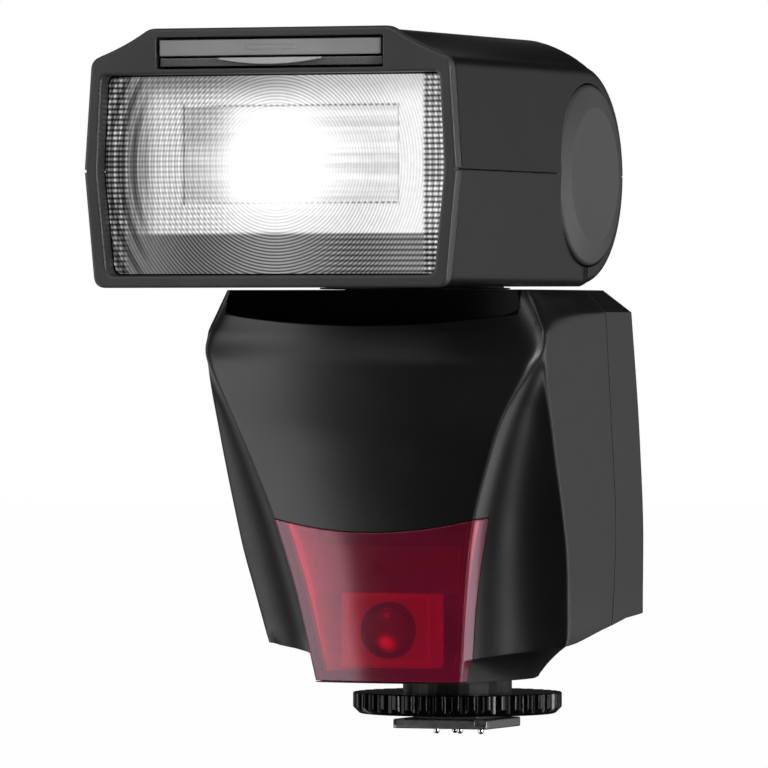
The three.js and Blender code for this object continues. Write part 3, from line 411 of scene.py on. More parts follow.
class Nodes:
    """The node tree of a material or a world, with short calls to add and link nodes."""

    def __init__(self, name, world=None):
        self.owner = world or bpy.data.materials.new(name)
        self.owner.use_nodes = True
        self.tree = self.owner.node_tree
        self.tree.nodes.clear()

    def add(self, kind, inputs=None, **settings):
        node = self.tree.nodes.new("ShaderNode" + kind)
        for key, value in settings.items():
            setattr(node, key, value)
        for key, value in (inputs or {}).items():
            socket = node.inputs[key]
            if isinstance(value, bpy.types.NodeSocket):
                self.tree.links.new(value, socket)
            else:
                socket.default_value = value
        return node

    def math(self, operation, a, b=0.0, clamped=False):
        return self.add("Math", {0: a, 1: b}, operation=operation, use_clamp=clamped).outputs[0]

    def ramp(self, value, low, high, start=0.0, end=1.0):
        node = self.add("MapRange", {"Value": value, "From Min": low, "From Max": high,
                                     "To Min": start, "To Max": end})
        return node.outputs["Result"]

    def noise(self, scale, detail=2.0, stretch=(1, 1, 1)):
        place = self.add("TexCoord").outputs["Object"]
        stretched = self.add("Mapping", {"Vector": place, "Scale": stretch}).outputs["Vector"]
        node = self.add("TexNoise", {"Vector": stretched, "Scale": scale, "Detail": detail, "Roughness": 0.5})
        return node.outputs["Fac"]

    def spread(self, noise, start=0.0, end=1.0, low=0.3):
        """Noise, which stays near a half, spread over the range from start to end."""
        return self.ramp(noise, low, 0.7, start, end)

    def bump(self, height, depth, strength, normal):
        return self.add("Bump", {"Height": height, "Distance": depth * MM, "Strength": strength,
                                 "Normal": normal}).outputs["Normal"]

    def blended(self, share, a, b):
        return self.add("MixShader", {0: share, 1: a.outputs[0], 2: b.outputs[0]})

    def mixed(self, share, a, b):
        node = self.add("Mix", {0: share, 6: a, 7: b}, data_type="RGBA")
        return node.outputs[2]

    def scoop_shade_mask(self):
        """Mask of the painted shade: 1 on the floor and walls of the body's scoop, 0 elsewhere."""
        place = self.add("SeparateXYZ", {0: self.add("TexCoord").outputs["Object"]})
        x, y, z = [self.math("MULTIPLY", place.outputs[axis], 1 / MM) for axis in "XYZ"]
        rise = self.math("MULTIPLY", self.math("MULTIPLY", x, x), SCOOP["curve"])
        share = self.math("GREATER_THAN", z, self.math("ADD", rise, SCOOP["floor"] - 0.15))
        limits = ((z, BODY_TOP - 0.1), (y, SCOOP["centre"] + SCOOP["depth"] + 0.8),
                  (self.math("ABSOLUTE", x), SCOOP["half_width"] - 3.7))
        for value, limit in limits:
            share = self.math("MULTIPLY", share, self.math("LESS_THAN", value, limit))
        return share

    def finish(self, shader):
        self.add("OutputMaterial", {"Surface": shader.outputs[0]})
        return self.owner

    def principled(self, inputs):
        return self.finish(self.add("BsdfPrincipled", inputs))


def rgb(red, green, blue):
    return (red, green, blue, 1.0)


def shade(colour, factor, lift=0.0):
    return rgb(*[min(1, c * factor + lift) for c in colour])


def edges(nodes, radius):
    """A normal rounded near edges, and a mask that is 1 on those edges."""
    soft = nodes.add("Bevel", {"Radius": radius}, samples=4).outputs["Normal"]
    true = nodes.add("NewGeometry").outputs["Normal"]
    facing = nodes.add("VectorMath", {0: soft, 1: true}, operation="DOT_PRODUCT").outputs["Value"]
    return soft, nodes.ramp(facing, 0.985, 0.8)


def plastic(name, colour, roughness, grain_size=0.22, grain_depth=0.012, edge_wear_and_highlight=0.35, coat=0.0,
            edge_radius=0.25, specular=0.5, painted_glow=0.0, paint_scoop_shade=False):
    """Moulded plastic with a fine spark texture, uneven gloss and lighter edges, partly wear and partly
    painted edge highlight; it can also paint shade into the body's scoop and give a painted glow.
    """
    nodes = Nodes(name)
    soft, edge = edges(nodes, edge_radius * MM)
    grain = nodes.noise(1 / (grain_size * MM), detail=3)
    mottle = nodes.noise(45, detail=4)
    # Lighter edges: partly wear, partly painted highlight along the rounded edges.
    worn_and_highlit_edges = nodes.math("MULTIPLY", edge, nodes.spread(nodes.noise(260, detail=3), 0.25, edge_wear_and_highlight, low=0.35))
    tint = nodes.mixed(nodes.spread(mottle), shade(colour, 0.86), shade(colour, 1.16))
    base = nodes.mixed(worn_and_highlit_edges, tint, shade(colour, 2.2, 0.03))
    gloss = nodes.math("ADD", nodes.spread(mottle, roughness - 0.03, roughness + 0.03),
                       nodes.spread(grain, -0.02, 0.03))
    # Painted shade: the scoop under the head is painted near black with little gloss.
    if paint_scoop_shade:
        scoop_shade = nodes.scoop_shade_mask()
        base = nodes.mixed(scoop_shade, base, rgb(0.001, 0.001, 0.001))
        specular = nodes.ramp(scoop_shade, 0, 1, specular, 0.06)
    return nodes.principled({
        "Base Color": base, "Roughness": gloss, "Normal": nodes.bump(grain, grain_depth, 0.7, soft),
        "Specular IOR Level": specular, "Coat Weight": coat, "Coat Roughness": 0.12,
        "Emission Color": rgb(1, 1, 1), "Emission Strength": painted_glow})


def metal(name, colour, roughness, streak=(1, 1, 30), edge_wear_and_highlight=0.3, edge_radius=0.12):
    """Bare or plated metal with fine drawn streaks."""
    nodes = Nodes(name)
    soft, edge = edges(nodes, edge_radius * MM)
    streaks = nodes.noise(900, detail=3, stretch=streak)
    mottle = nodes.noise(80, detail=3)
    tint = nodes.mixed(nodes.spread(mottle), shade(colour, 0.85), rgb(*colour))
    # Lighter edges: partly wear, partly painted highlight.
    return nodes.principled({
        "Base Color": nodes.mixed(nodes.math("MULTIPLY", edge, edge_wear_and_highlight), tint, shade(colour, 1.6)),
        "Roughness": nodes.spread(streaks, roughness - 0.06, roughness + 0.08), "Metallic": 1.0,
        "Normal": nodes.bump(streaks, 0.004, 0.5, soft)})


def tinted_window(name, clear_tint, depth_tint, haze, haze_share, roughness=0.05, sheen=(1, 1, 1, 1)):
    """Thin coloured plastic that lets light through without bending it, with a glossy face."""
    nodes = Nodes(name)
    soft, edge = edges(nodes, 0.35 * MM)
    facing = nodes.add("LayerWeight", {"Blend": 0.35}).outputs["Facing"]
    through = nodes.add("BsdfTransparent", {"Color": nodes.mixed(facing, clear_tint, depth_tint)})
    scatter = nodes.add("BsdfPrincipled", {"Base Color": haze, "Roughness": 0.35, "Normal": soft})
    swirl = nodes.spread(nodes.noise(70), haze_share * 0.8, haze_share * 1.2)
    share = nodes.math("ADD", swirl, nodes.math("MULTIPLY", edge, 0.25), clamped=True)
    inner = nodes.blended(share, through, scatter)
    gloss = nodes.add("BsdfGlossy", {"Color": sheen, "Roughness": roughness, "Normal": soft})
    fresnel = nodes.add("Fresnel", {"IOR": 1.58, "Normal": soft}).outputs[0]
    return nodes.finish(nodes.blended(fresnel, inner, gloss))


RING_PITCH = 0.56
LENS_CENTRE_Z = TILT_Z + 1.0
# The lit zone of the lens, and the picture of the reflector's mouth in it, in mm from the ring centre
LIT = {"left": -26.3, "right": 27.8, "bottom": -11.9}
MOUTH = {"left": -17.4, "right": 23, "bottom": -6.7, "top": 10.3}
# Pitch of the prisms' rows and columns in mm
LENS_ROWS = 0.92
LENS_COLUMNS = 1.1
# The core is an oval: one over the square of its half width and of its half height
CORE_U, CORE_V = 0.0042, 0.008
# Brightness of the zones; a pair runs from left to right, or from the ends to the middle under the lit zone
GLOW = {"core": 1.35, "lit": 1.05, "left": 0.78, "top": (0.35, 0.7), "beside": (0.3, 0.55),
        "under": (0.22, 0.42)}


def lens_material():
    """Clear stepped lens lit from behind: rings, prism rows and columns, and the bright reflector.

    u and v are the distances to the right of the rings' centre and above it, in mm. rise and fall take
    the places where a change starts and ends. Levels and shares are parts of full white.
    """
    nodes = Nodes("lit_stepped_lens")
    place = nodes.add("SeparateXYZ", {0: nodes.add("TexCoord").outputs["Object"]})
    u = nodes.math("MULTIPLY", place.outputs["X"], 1 / MM)
    v = nodes.math("SUBTRACT", nodes.math("MULTIPLY", place.outputs["Z"], 1 / MM), LENS_CENTRE_Z)

    def rise(value, start, end):
        return nodes.add("MapRange", {"Value": value, "From Min": start, "From Max": end},
                         interpolation_type="SMOOTHSTEP").outputs["Result"]

    def flipped(value):
        return nodes.math("SUBTRACT", 1.0, value)

    def fall(value, start, end):
        return flipped(rise(value, start, end))

    def times(value, *factors):
        for factor in factors:
            value = nodes.math("MULTIPLY", value, factor)
        return value

    def dimmed(value, *shares):
        return times(value, *[flipped(share) for share in shares])

    def highest(a, b):
        return nodes.math("MAXIMUM", a, b)

    def wave(value, pitch):
        return nodes.ramp(nodes.math("SINE", times(value, 2 * math.pi / pitch)), -1, 1)

    def blend(share, a, b):
        return nodes.add("Mix", {0: share, 2: a, 3: b}, data_type="FLOAT").outputs[0]

    def near(value, centre, reach):
        return fall(nodes.math("ABSOLUTE", nodes.math("SUBTRACT", value, centre)), 0, reach)

    def mouth(*edge_pairs):
        sides = ((u, "left", rise), (u, "right", fall), (v, "bottom", rise), (v, "top", fall))
        return times(*[change(value, MOUTH[side] + start, MOUTH[side] + end)
                       for (value, side, change), (start, end) in zip(sides, edge_pairs)])

    radius = nodes.math("SQRT", nodes.math("ADD", times(u, u), times(v, v)))
    rings, rows, columns = wave(radius, RING_PITCH), wave(v, LENS_ROWS), wave(u, LENS_COLUMNS)
    uneven = nodes.noise(110, stretch=(0.3, 1, 2.4))
    streaks = nodes.noise(90, detail=3, stretch=(0.12, 1, 8))

    # Zones: the lit part, the reflector's mouth in it, and the bright core round the flash tube
    above = rise(v, LIT["bottom"] - 0.5, LIT["bottom"] + 0.3)
    lit = times(rise(u, LIT["left"] - 1.2, LIT["left"] + 5),
                fall(u, LIT["right"] - 0.5, LIT["right"] + 0.3), above)
    inside = mouth((0, 1), (0, 0.4), (0, 0.4), (-0.4, 0))
    oval = nodes.math("SQRT", nodes.math("ADD", times(u, u, CORE_U), times(v, v, CORE_V)))
    core = fall(nodes.math("ADD", oval, nodes.spread(streaks, -0.12, 0.12)), 0.2, 1.3)

    # Even brightness of the zones
    top = blend(rise(u, -14, 14), *GLOW["top"])
    upper = times(blend(rise(v, 10.5, 15), GLOW["lit"], top), blend(rise(u, -25, -8), GLOW["left"], 1.0))
    beside = blend(rise(u, -24, 20), *GLOW["beside"])
    under = blend(near(u, 0, 15), *GLOW["under"])
    level = blend(lit, blend(above, under, beside), blend(core, upper, GLOW["core"]))

    # A dull patch at the left of the mouth and streaks at its right, then the lines of its frame
    patch = times(inside, fall(u, -13, -5), nodes.spread(uneven, 0.22, 0.5))
    streak = times(inside, rise(u, 4, 12), nodes.ramp(streaks, 0.42, 0.62, 0.0, 0.24))
    level = dimmed(level, patch, streak)
    across = highest(near(v, MOUTH["top"], 0.4), near(v, MOUTH["bottom"], 0.4))
    upright = highest(near(u, MOUTH["right"], 0.25), near(u, MOUTH["left"], 0.5))
    lines = highest(times(across, rise(u, MOUTH["left"], MOUTH["left"] + 8)), upright)
    bounds = times(mouth((-0.6, 0), (0, 0.3), (-0.6, 0), (0, 0.6)), flipped(core))
    level = dimmed(level, times(lines, bounds, blend(columns, 0.2, 0.8)))

    # The rings, weaker in the mouth and near the ends, and the hatching along the top
    ends = rise(nodes.math("ABSOLUTE", u), 16, 26)
    ring_depth = times(flipped(core), blend(lit, 0.85, blend(inside, 0.5, 0.34)), blend(ends, 1.0, 0.55))
    hatching = times(rise(v, 12.5, 16.5), 0.45)
    level = dimmed(level, times(rings, highest(ring_depth, hatching)))

    # The prisms on the left, dark bands at the left end, dots beside the lit part and rows at the lower right
    prisms = times(blend(columns, 0.82, 1.14), blend(rows, 0.7, 1.2))
    left_zone = times(fall(u, -13, -6), flipped(core), above)
    level = times(level, blend(left_zone, 1.0, prisms))
    level = dimmed(level, times(fall(u, -27, -23), rise(wave(radius, 2.4), 0.35, 0.8), 0.6))
    side = highest(rise(u, LIT["right"] - 0.4, LIT["right"] + 0.4),
                   fall(u, LIT["left"] - 3, LIT["left"] - 1))
    dots = times(blend(columns, 0.5, 1.35), blend(rows, 0.2, 1.6), nodes.spread(uneven, 0.6, 1.3))
    lower_right = times(flipped(above), rise(u, 4, 14))
    level = times(level, blend(side, 1.0, dots), blend(lower_right, 1.0, blend(rows, 0.45, 1.9)))
    level = times(level, blend(core, nodes.spread(nodes.noise(900), 0.95, 1.04), 1.0))

    light = nodes.add("Emission", {"Color": rgb(1, 1, 1), "Strength": level})
    gloss = nodes.add("BsdfGlossy", {"Color": rgb(1, 1, 1), "Roughness": 0.08})
    fresnel = nodes.add("Fresnel", {"IOR": 1.3}).outputs[0]
    return nodes.finish(nodes.blended(fresnel, light, gloss))


# Height above the lamp's middle, reach and strength of the dome's catch-lights
CATCH_LIGHTS = ((-2.2, 2.6, 0.9), (2.7, 1.1, 0.35))
LAMP_Z = 18.8
LAMP_FACE_Y = -35


def lamp_dome():
    """Dark clear dome with two soft catch-lights, one above the other."""
    nodes = Nodes("lamp_dome")
    place = nodes.add("TexCoord").outputs["Object"]
    levels = []
    for height, reach, strength in CATCH_LIGHTS:
        spot = Vector((0, LAMP_FACE_Y, LAMP_Z + height)) * MM
        away = nodes.add("VectorMath", {0: place, 1: spot}, operation="SUBTRACT").outputs[0]
        flat = nodes.add("VectorMath", {0: away, 1: (1, 0, 1.2)}, operation="MULTIPLY").outputs[0]
        length = nodes.add("VectorMath", {0: flat}, operation="LENGTH").outputs["Value"]
        level = nodes.add("MapRange", {"Value": length, "From Min": 0, "From Max": reach * MM,
                                       "To Min": strength, "To Max": 0}, interpolation_type="SMOOTHERSTEP")
        levels.append(level.outputs["Result"])
    return nodes.principled({
        "Base Color": rgb(0.08, 0.06, 0.06), "Roughness": nodes.spread(nodes.noise(600), 0.12, 0.2),
        "Emission Color": rgb(1, 0.8, 0.8),
        "Emission Strength": nodes.math("ADD", nodes.math("ADD", *levels), 0.06)})


# The body's scoop gets painted shade in this material.
SHELL = plastic("satin_black_plastic", (0.0052, 0.0052, 0.0056), 0.33, paint_scoop_shade=True)
# The head shell and bezel have strong lighter edges that paint their thin edge highlights.
HEAD_SHELL = plastic("satin_head_plastic", (0.0045, 0.0045, 0.005), 0.38, edge_wear_and_highlight=1.0, edge_radius=0.4,
                     specular=0.3)
BEZEL = plastic("charcoal_plastic", (0.036, 0.0365, 0.038), 0.36, edge_wear_and_highlight=1.0, edge_radius=0.4)
DISC = plastic("grey_disc_plastic", (0.048, 0.049, 0.051), 0.42)
INNER = plastic("matt_black_plastic", (0.006, 0.006, 0.0065), 0.5, grain_size=0.4)
RING = plastic("glossy_black_plastic", (0.0015, 0.0015, 0.0018), 0.15, specular=0.2, grain_depth=0.003,
               edge_wear_and_highlight=0.3)
CARD = plastic("grey_card_plastic", (0.3, 0.3, 0.305), 0.45)
CARD_SHEET = plastic("white_card_plastic", (0.72, 0.72, 0.71), 0.5)
SLAB = tinted_window("frosted_clear_panel", rgb(0.62, 0.64, 0.67), rgb(0.4, 0.42, 0.45),
                     rgb(0.42, 0.43, 0.45), 0.3, roughness=0.12)
LIP = plastic("pale_pull_lip", (0.46, 0.46, 0.47), 0.4)
BUTTON = plastic("grey_button_rubber", (0.075, 0.077, 0.08), 0.6, grain_size=0.3)
CELL = plastic("cell_wrapper", (0.22, 0.25, 0.29), 0.3, coat=0.5)
BOARD = plastic("green_circuit_board", (0.012, 0.09, 0.045), 0.4, grain_size=0.9, grain_depth=0.05)
STEEL = metal("plain_steel", (0.6, 0.61, 0.62), 0.3)
FOOT_METAL = metal("dark_anodised_metal", (0.22, 0.221, 0.226), 0.36, streak=(1, 20, 1))
PIN_METAL = metal("bright_nickel", (0.75, 0.74, 0.72), 0.16)
BRASS = metal("copper_alloy", (0.62, 0.4, 0.16), 0.3)
RED = tinted_window("wine_red_window", rgb(0.9, 0.03, 0.12), rgb(0.62, 0.012, 0.07),
                    rgb(0.42, 0.014, 0.07), 0.26, roughness=0.17, sheen=rgb(0.95, 0.85, 1.0))
CLEAR = tinted_window("clear_acrylic", rgb(0.9, 0.92, 0.94), rgb(0.6, 0.62, 0.66),
                      rgb(0.5, 0.52, 0.55), 0.08)
LENS_CLEAR = lens_material()
MIRROR = metal("polished_reflector", (0.85, 0.85, 0.86), 0.08)
SCREEN = plastic("display_glass_film", (0.23, 0.27, 0.2), 0.25, grain_size=0.5, grain_depth=0.002)
LAMP_RED = plastic("red_lamp_lens", (0.5, 0.01, 0.03), 0.15, coat=1.0)

# ---- body outline

FRONT_STEPS, FLANK_STEPS, SIDE_STEPS, CORNER_STEPS, REAR_STEPS = 18, 20, 10, 8, 5
# Places along the half outline: the ridge, the side face's front and rear edges, the rear corner's end
RIDGE_AT, EDGE_AT, SIDE_AT, CORNER_AT, REAR_AT = 4, 9, 11, 14, 15
# How densely the points crowd towards the ridge and the side edge, and the pull of a hollow flank's curve
FRONT_SPACING, SIDE_SPACING = 1.7, 2.2
HOLLOW_PULL = (0.15, 0.22)
# Height above which the cove no longer shapes the body, and the steps up to it
COVE_LEVEL, COVE_STEPS, ABOVE_COVE_STEPS = 23, 16, 5
INSIDE_LEVELS = (12.4, 15, 18, 22, 28, 34.4, 43, 52, 58, 64, 68, 72, 76)
# Place along the outline and height at which the cove under the body meets it
COVE_TOP = [[4, 13.4], [7, 14.6], [9, 15.8], [10, 18.6], [11, 21], [15, 22]]
# Depth and height at which the top chamfer starts on the side face
CHAMFER_START = [[-42, 72.2], [-32, 74.6], [-20, 75.7], [-8, 76]]


def half_outline(z):
    """Rows of (x, y, place) from the middle of the front to the middle of the rear, on the +X side."""
    ridge = np.array([along(RIDGE, z, 1), along(RIDGE, z, 2)])
    edge = np.array([along(SIDE_EDGE, z, 1), along(SIDE_EDGE, z, 2)])
    rear = along(REAR_EDGE, z)
    bulge = along(BULGE, z)
    corner_x = BODY_HALF_WIDTH - REAR_CORNER
    hollow = np.array([lerp(ridge[0], edge[0], HOLLOW_PULL[0]), lerp(edge[1], ridge[1], HOLLOW_PULL[1])])
    pull = lerp(hollow, np.array([edge[0], ridge[1]]), 1 - along(HOLLOW, z))

    def straight(start, end, steps, spacing=1):
        start, end = np.array(start), np.array(end)
        return [tuple(lerp(start, end, (i / steps) ** spacing)) for i in range(1, steps + 1)]

    rows = []
    for i in range(FRONT_STEPS):
        share = 1 - (1 - i / FRONT_STEPS) ** FRONT_SPACING
        rows.append((ridge[0] * share, ridge[1] - bulge * (1 - share ** 2), RIDGE_AT * share))
    for i in range(FLANK_STEPS + 1):
        t = 0.5 - 0.5 * math.cos(math.pi * i / FLANK_STEPS)
        point = lerp(lerp(ridge, pull, t), lerp(pull, edge, t), t)
        rows.append((*point, lerp(RIDGE_AT, EDGE_AT, t)))
    rows += straight((*edge, EDGE_AT), (BODY_HALF_WIDTH, rear, SIDE_AT), SIDE_STEPS, SIDE_SPACING)
    for i in range(1, CORNER_STEPS + 1):
        turn = i / CORNER_STEPS * math.pi / 2
        rows.append((corner_x + REAR_CORNER * math.cos(turn), rear + REAR_CORNER * math.sin(turn),
                     lerp(SIDE_AT, CORNER_AT, i / CORNER_STEPS)))
    back = rear + REAR_CORNER
    return rows + straight((corner_x, back, CORNER_AT), (0, back, REAR_AT), REAR_STEPS)


def chamfered(z, rows):
    """Draws the outline in over the sloping facet round the body's top."""
    made = []
    for x, y, place in rows:
        start = along(CHAMFER_START, y)
        depth = CHAMFER_DEPTH * clamp((z - start) / (BODY_TOP - start))
        full_x = along(RIDGE, z, 1) if place < RIDGE_AT else BODY_HALF_WIDTH - REAR_CORNER
        aside = clamp(x / full_x) if place < RIDGE_AT or place > CORNER_AT else 1
        aside *= lerp(FRONT_CHAMFER, 1, clamp((place - RIDGE_AT) / (EDGE_AT - RIDGE_AT)))
        made.append((x - depth * aside, y - depth * clamp((place - EDGE_AT) / 2), place))
    return made


def coved(z, rows):
    """Draws the outline in towards the round pedestal as it goes down to the body's underside."""
    made = []
    for x, y, place in rows:
        share_back = clamp((place - RIDGE_AT) / (REAR_AT - RIDGE_AT))
        turn = lerp(-math.pi / 2 + 0.55, math.pi / 2, share_back)
        home = PEDESTAL_RADIUS * math.cos(turn), PEDESTAL_RADIUS * math.sin(turn)
        flank = clamp((place - RIDGE_AT) / (EDGE_AT - RIDGE_AT))
        s = clamp((z - BODY_BOTTOM) / (along(COVE_TOP, place) - BODY_BOTTOM))
        share = 0.5 * s + 0.5 * (1 - math.sqrt(1 - s * s))
        keep = 1 - (1 - share) * flank
        made.append((lerp(home[0], x, keep), lerp(home[1], y, keep)))
    return made


def relaxed(points, sizes):
    """Rounds an outline: each point moves to the mean of the outline over its own size each way."""
    count = len(points)
    ring = np.vstack([points, points, points])
    reach = np.concatenate([[0], np.cumsum(np.linalg.norm(np.diff(ring, axis=0), axis=1))])
    made = []
    for i in range(count):
        samples = reach[i + count] + np.linspace(-sizes[i], sizes[i], 11)
        made.append([np.interp(samples, reach, ring[:, axis]).mean() for axis in (0, 1)])
    return made


def body_ring(z, distance):
    rows = half_outline(z)
    half = coved(z, chamfered(z, rows))
    points = half + [(-x, y) for x, y in half[-2:0:-1]]
    if distance:
        return inset(points, distance)
    ridge_size, edge_size = along(RIDGE_SOFTNESS, z), along(EDGE_SOFTNESS, z)
    sizes = []
    for _, _, place in rows:
        size = lerp(ridge_size, edge_size, clamp((place - RIDGE_AT - 1) / 3))
        sizes.append(size * clamp(SIDE_AT - place))
    return relaxed(points, sizes + sizes[-2:0:-1])


def body_outside():
    """The whole body as one solid. Low down each point has its own height, so the cove's rim is even."""
    places = [row[2] for row in half_outline(COVE_LEVEL)]
    tops = [along(COVE_TOP, clamp(place, RIDGE_AT, REAR_AT)) for place in places]
    tops = tops + tops[-2:0:-1]
    cache = {}

    def ring_at(z):
        key = round(z, 2)
        if key not in cache:
            cache[key] = body_ring(key, 0)
        return cache[key]

    rings = []
    for i in range(COVE_STEPS + ABOVE_COVE_STEPS):
        if i <= COVE_STEPS:
            heights = [lerp(BODY_BOTTOM, top, math.sin(i / COVE_STEPS * math.pi / 2)) for top in tops]
        else:
            heights = [lerp(top, COVE_LEVEL, (i - COVE_STEPS) / ABOVE_COVE_STEPS) for top in tops]
        rings.append([(*ring_at(z)[n], round(z, 2)) for n, z in enumerate(heights)])
    for z in [*np.arange(COVE_LEVEL, 60, 1.25), *np.arange(60, BODY_TOP, 0.5), BODY_TOP]:
        rings.append(raised("z", ring_at(z), round(z, 2)))
    return loft(rings)


def body_inside(distance, bottom, top):
    levels = [bottom, *[z for z in INSIDE_LEVELS if bottom < z < top], top]
    return loft([raised("z", body_ring(z, distance), z) for z in levels])


def seam_side(front, gap):
    """Everything in front of the seam between the body shells, or behind it."""
    side = -1 if front else 1
    line = [(along(SEAM, z) + side * gap, z) for z in np.linspace(0, 90, 46)]
    return prism("x", [*line, (side * FAR, 90), (side * FAR, 0)], -50, 50)


def scoop_tool():
    half, depth, centre = SCOOP["half_width"], SCOOP["depth"], SCOOP["centre"]

    def squared(value):
        return math.copysign(abs(value) ** SCOOP["squareness"], value)

    plan = [(half * squared(math.cos(turn)), centre + depth * squared(math.sin(turn)))
            for turn in np.linspace(0, 2 * math.pi, 144, endpoint=False)]
    right = [(x, along(SCOOP_FLOOR, x)) for x in [*np.linspace(0, 26, 20), *np.linspace(26.3, half, 24)]]
    profile = [*[(-x, z) for x, z in right[:0:-1]], *right, (half, 94), (-half, 94)]
    return common(prism("z", plan, 70, BODY_TOP + 12), prism("y", profile, -65, -30))


def window_region(gap):
    bottom, half = WINDOW["bottom"], WINDOW["half_width"]
    crown, dip = WINDOW["top"] + WINDOW["rise"], WINDOW["top"] - WINDOW["rise"]
    arc = bezier([(half, crown + gap), (0, dip + gap), (-half, crown + gap)], 40)
    outline = [(-half - 3, bottom - gap), (half + 3, bottom - gap), *arc]
    slope = (WINDOW["back_bottom"] - WINDOW["back_top"]) / (crown - bottom)
    low, high = bottom - 2, crown + 2
    back = [(WINDOW["back_top"] + gap + slope * (crown - z), z) for z in (low, high)]
    return common(prism("y", outline, -60, -25), prism("x", [(-60, low), *back, (-60, high)], -60, 60))


def door_region(gap):
    y, z = DOOR["y"], DOOR["z"]
    outline = [(y[0] - gap, z[0] - gap, 1.2), (y[1] + gap, z[0] - gap), (y[1] + gap, z[1] + gap),
               (y[0] - gap, z[1] + gap, 1.2)]
    return prism("x", softened(outline), -60, -28.8)


# ---- body pieces

DOOR_PIVOT = (JOINTS["battery_door_swing"]["pos_m"][0] / MM,
              JOINTS["battery_door_swing"]["pos_m"][1] / MM, 0)
SWITCH_TRAVEL = 4.0
CATCH_TRAVEL = 3.0
PRESS_GAP = 0.25
LAMP_PLATE = {"size": (18.4, 14), "front": -34}
BROW = {"size": (28, 8.5), "height": 29.75, "y": (-34.6, -33.4)}
REAR_BUTTONS = ("mode_button", "zoom_button", "light_button", "minus_button", "plus_button")


def facing_outline(node, gap, travel, corner):
    """Rounded outline of a CAD node seen from behind, wider by a gap all round and by its travel in X."""
    centre, size = centre_and_size(node)
    middle = (centre[0] + travel / 2, centre[2])
    return rounded_box(size[0] + 2 * gap + travel, size[2] + 2 * gap, corner, middle)


def press_hole(node, travel=0.0):
    return prism("y", facing_outline(node, PRESS_GAP, travel, 1.1), 0, 20)


def round_hole(node, margin, segments):
    axis, radius, _, _ = round_node(node)
    return rod("y", radius + margin, 0, 20, axis, segments)


def body_shells():
    outer = cut(copied(BODY), scoop_tool())
    under_scoop = block((-31, 31), (-60, SCOOP["centre"] + SCOOP["depth"] + WALL),
                        (SCOOP["floor"] - WALL - 0.4, BODY_TOP))
    spigot = span("swivel_retaining_ring", "x")[1] - 2.4
    collar = span("clamp_washer", "x")[1] - 0.3
    low, high = box("display_window")
    tools = [
        cut(body_inside(WALL, BODY_BOTTOM + 2, BODY_TOP - 2.2), under_scoop),
        rod("z", spigot, BODY_TOP - 5, BODY_TOP + 2, (0, SWIVEL_Y, 0)),
        rod("z", collar, BODY_BOTTOM - 2, BODY_BOTTOM + 4),
        block((low[0] - FIT, high[0] + FIT), (-1, 20), (low[2] - FIT, high[2] + FIT)),
        door_region(FIT),
        rod("z", DOOR["knuckle"] + 0.4, DOOR["z"][0] - FIT, DOOR["z"][1] + FIT, DOOR_PIVOT, 24),
        window_region(FIT),
        round_hole("test_button", 0.25, 64),
        round_hole("ready_lamp", FIT, 32),
        press_hole("power_switch", travel=SWITCH_TRAVEL),
        *[press_hole(name) for name in REAR_BUTTONS],
    ]
    whole = cut(outer, *tools)
    for name, front in (("rear_shell", False), ("front_shell", True)):
        stand_in(common(copied(whole), seam_side(front, SEAM_GAP)), name, SHELL, "body")
    bpy.data.objects.remove(whole)


def skin(wall):
    return cut(copied(BODY), body_inside(wall, BODY_BOTTOM + 2, BODY_TOP - 2))


def focus_window():
    stand_in(common(skin(WINDOW_WALL), window_region(0)), "focus_window", RED, "body")


def battery_door():
    low, high = box("battery_door_catch")
    knuckle = rod("z", DOOR["knuckle"], DOOR["z"][0] + 2, DOOR["z"][1] - 2, DOOR_PIVOT, 24)
    bore = rod("z", 0.8, DOOR["z"][0] - 1, DOOR["z"][1] + 1, DOOR_PIVOT, 16)
    pocket = block((-60, -31.9), (low[1] - 0.3, high[1] + 0.3), (low[2] - 0.3, high[2] + CATCH_TRAVEL + 0.4))
    door = cut(joined(common(skin(WALL), door_region(0)), knuckle), bore, pocket)
    stand_in(door, "battery_door", SHELL, "battery_door")
    face = DOOR["catch_face"]
    centre, size = centre_and_size("battery_door_catch")
    slider = prism("x", rounded_box(size[1], size[2], 0.6, centre[1:]), face, high[0], soft_start=0.2)
    for step in (-1.3, 0, 1.3):
        rib = rounded_box(size[1] - 1, 0.6, 0.25, (centre[1], centre[2] + step))
        slider = joined(slider, prism("x", rib, low[0], face + 0.1, soft_start=0.2))
    stand_in(slider, "battery_door_catch", BUTTON, "battery_door_catch")


def domed(radius, tip, base, end, first, steps=8):
    """Profile of a round piece whose dome runs from its tip to its base, with a straight side to its end."""
    dome = [(radius * math.sin(turn), base + (tip - base) * math.cos(turn))
            for turn in np.linspace(first, math.pi / 2, steps)]
    return [(0, tip), *dome, (radius, end), (0, end)]


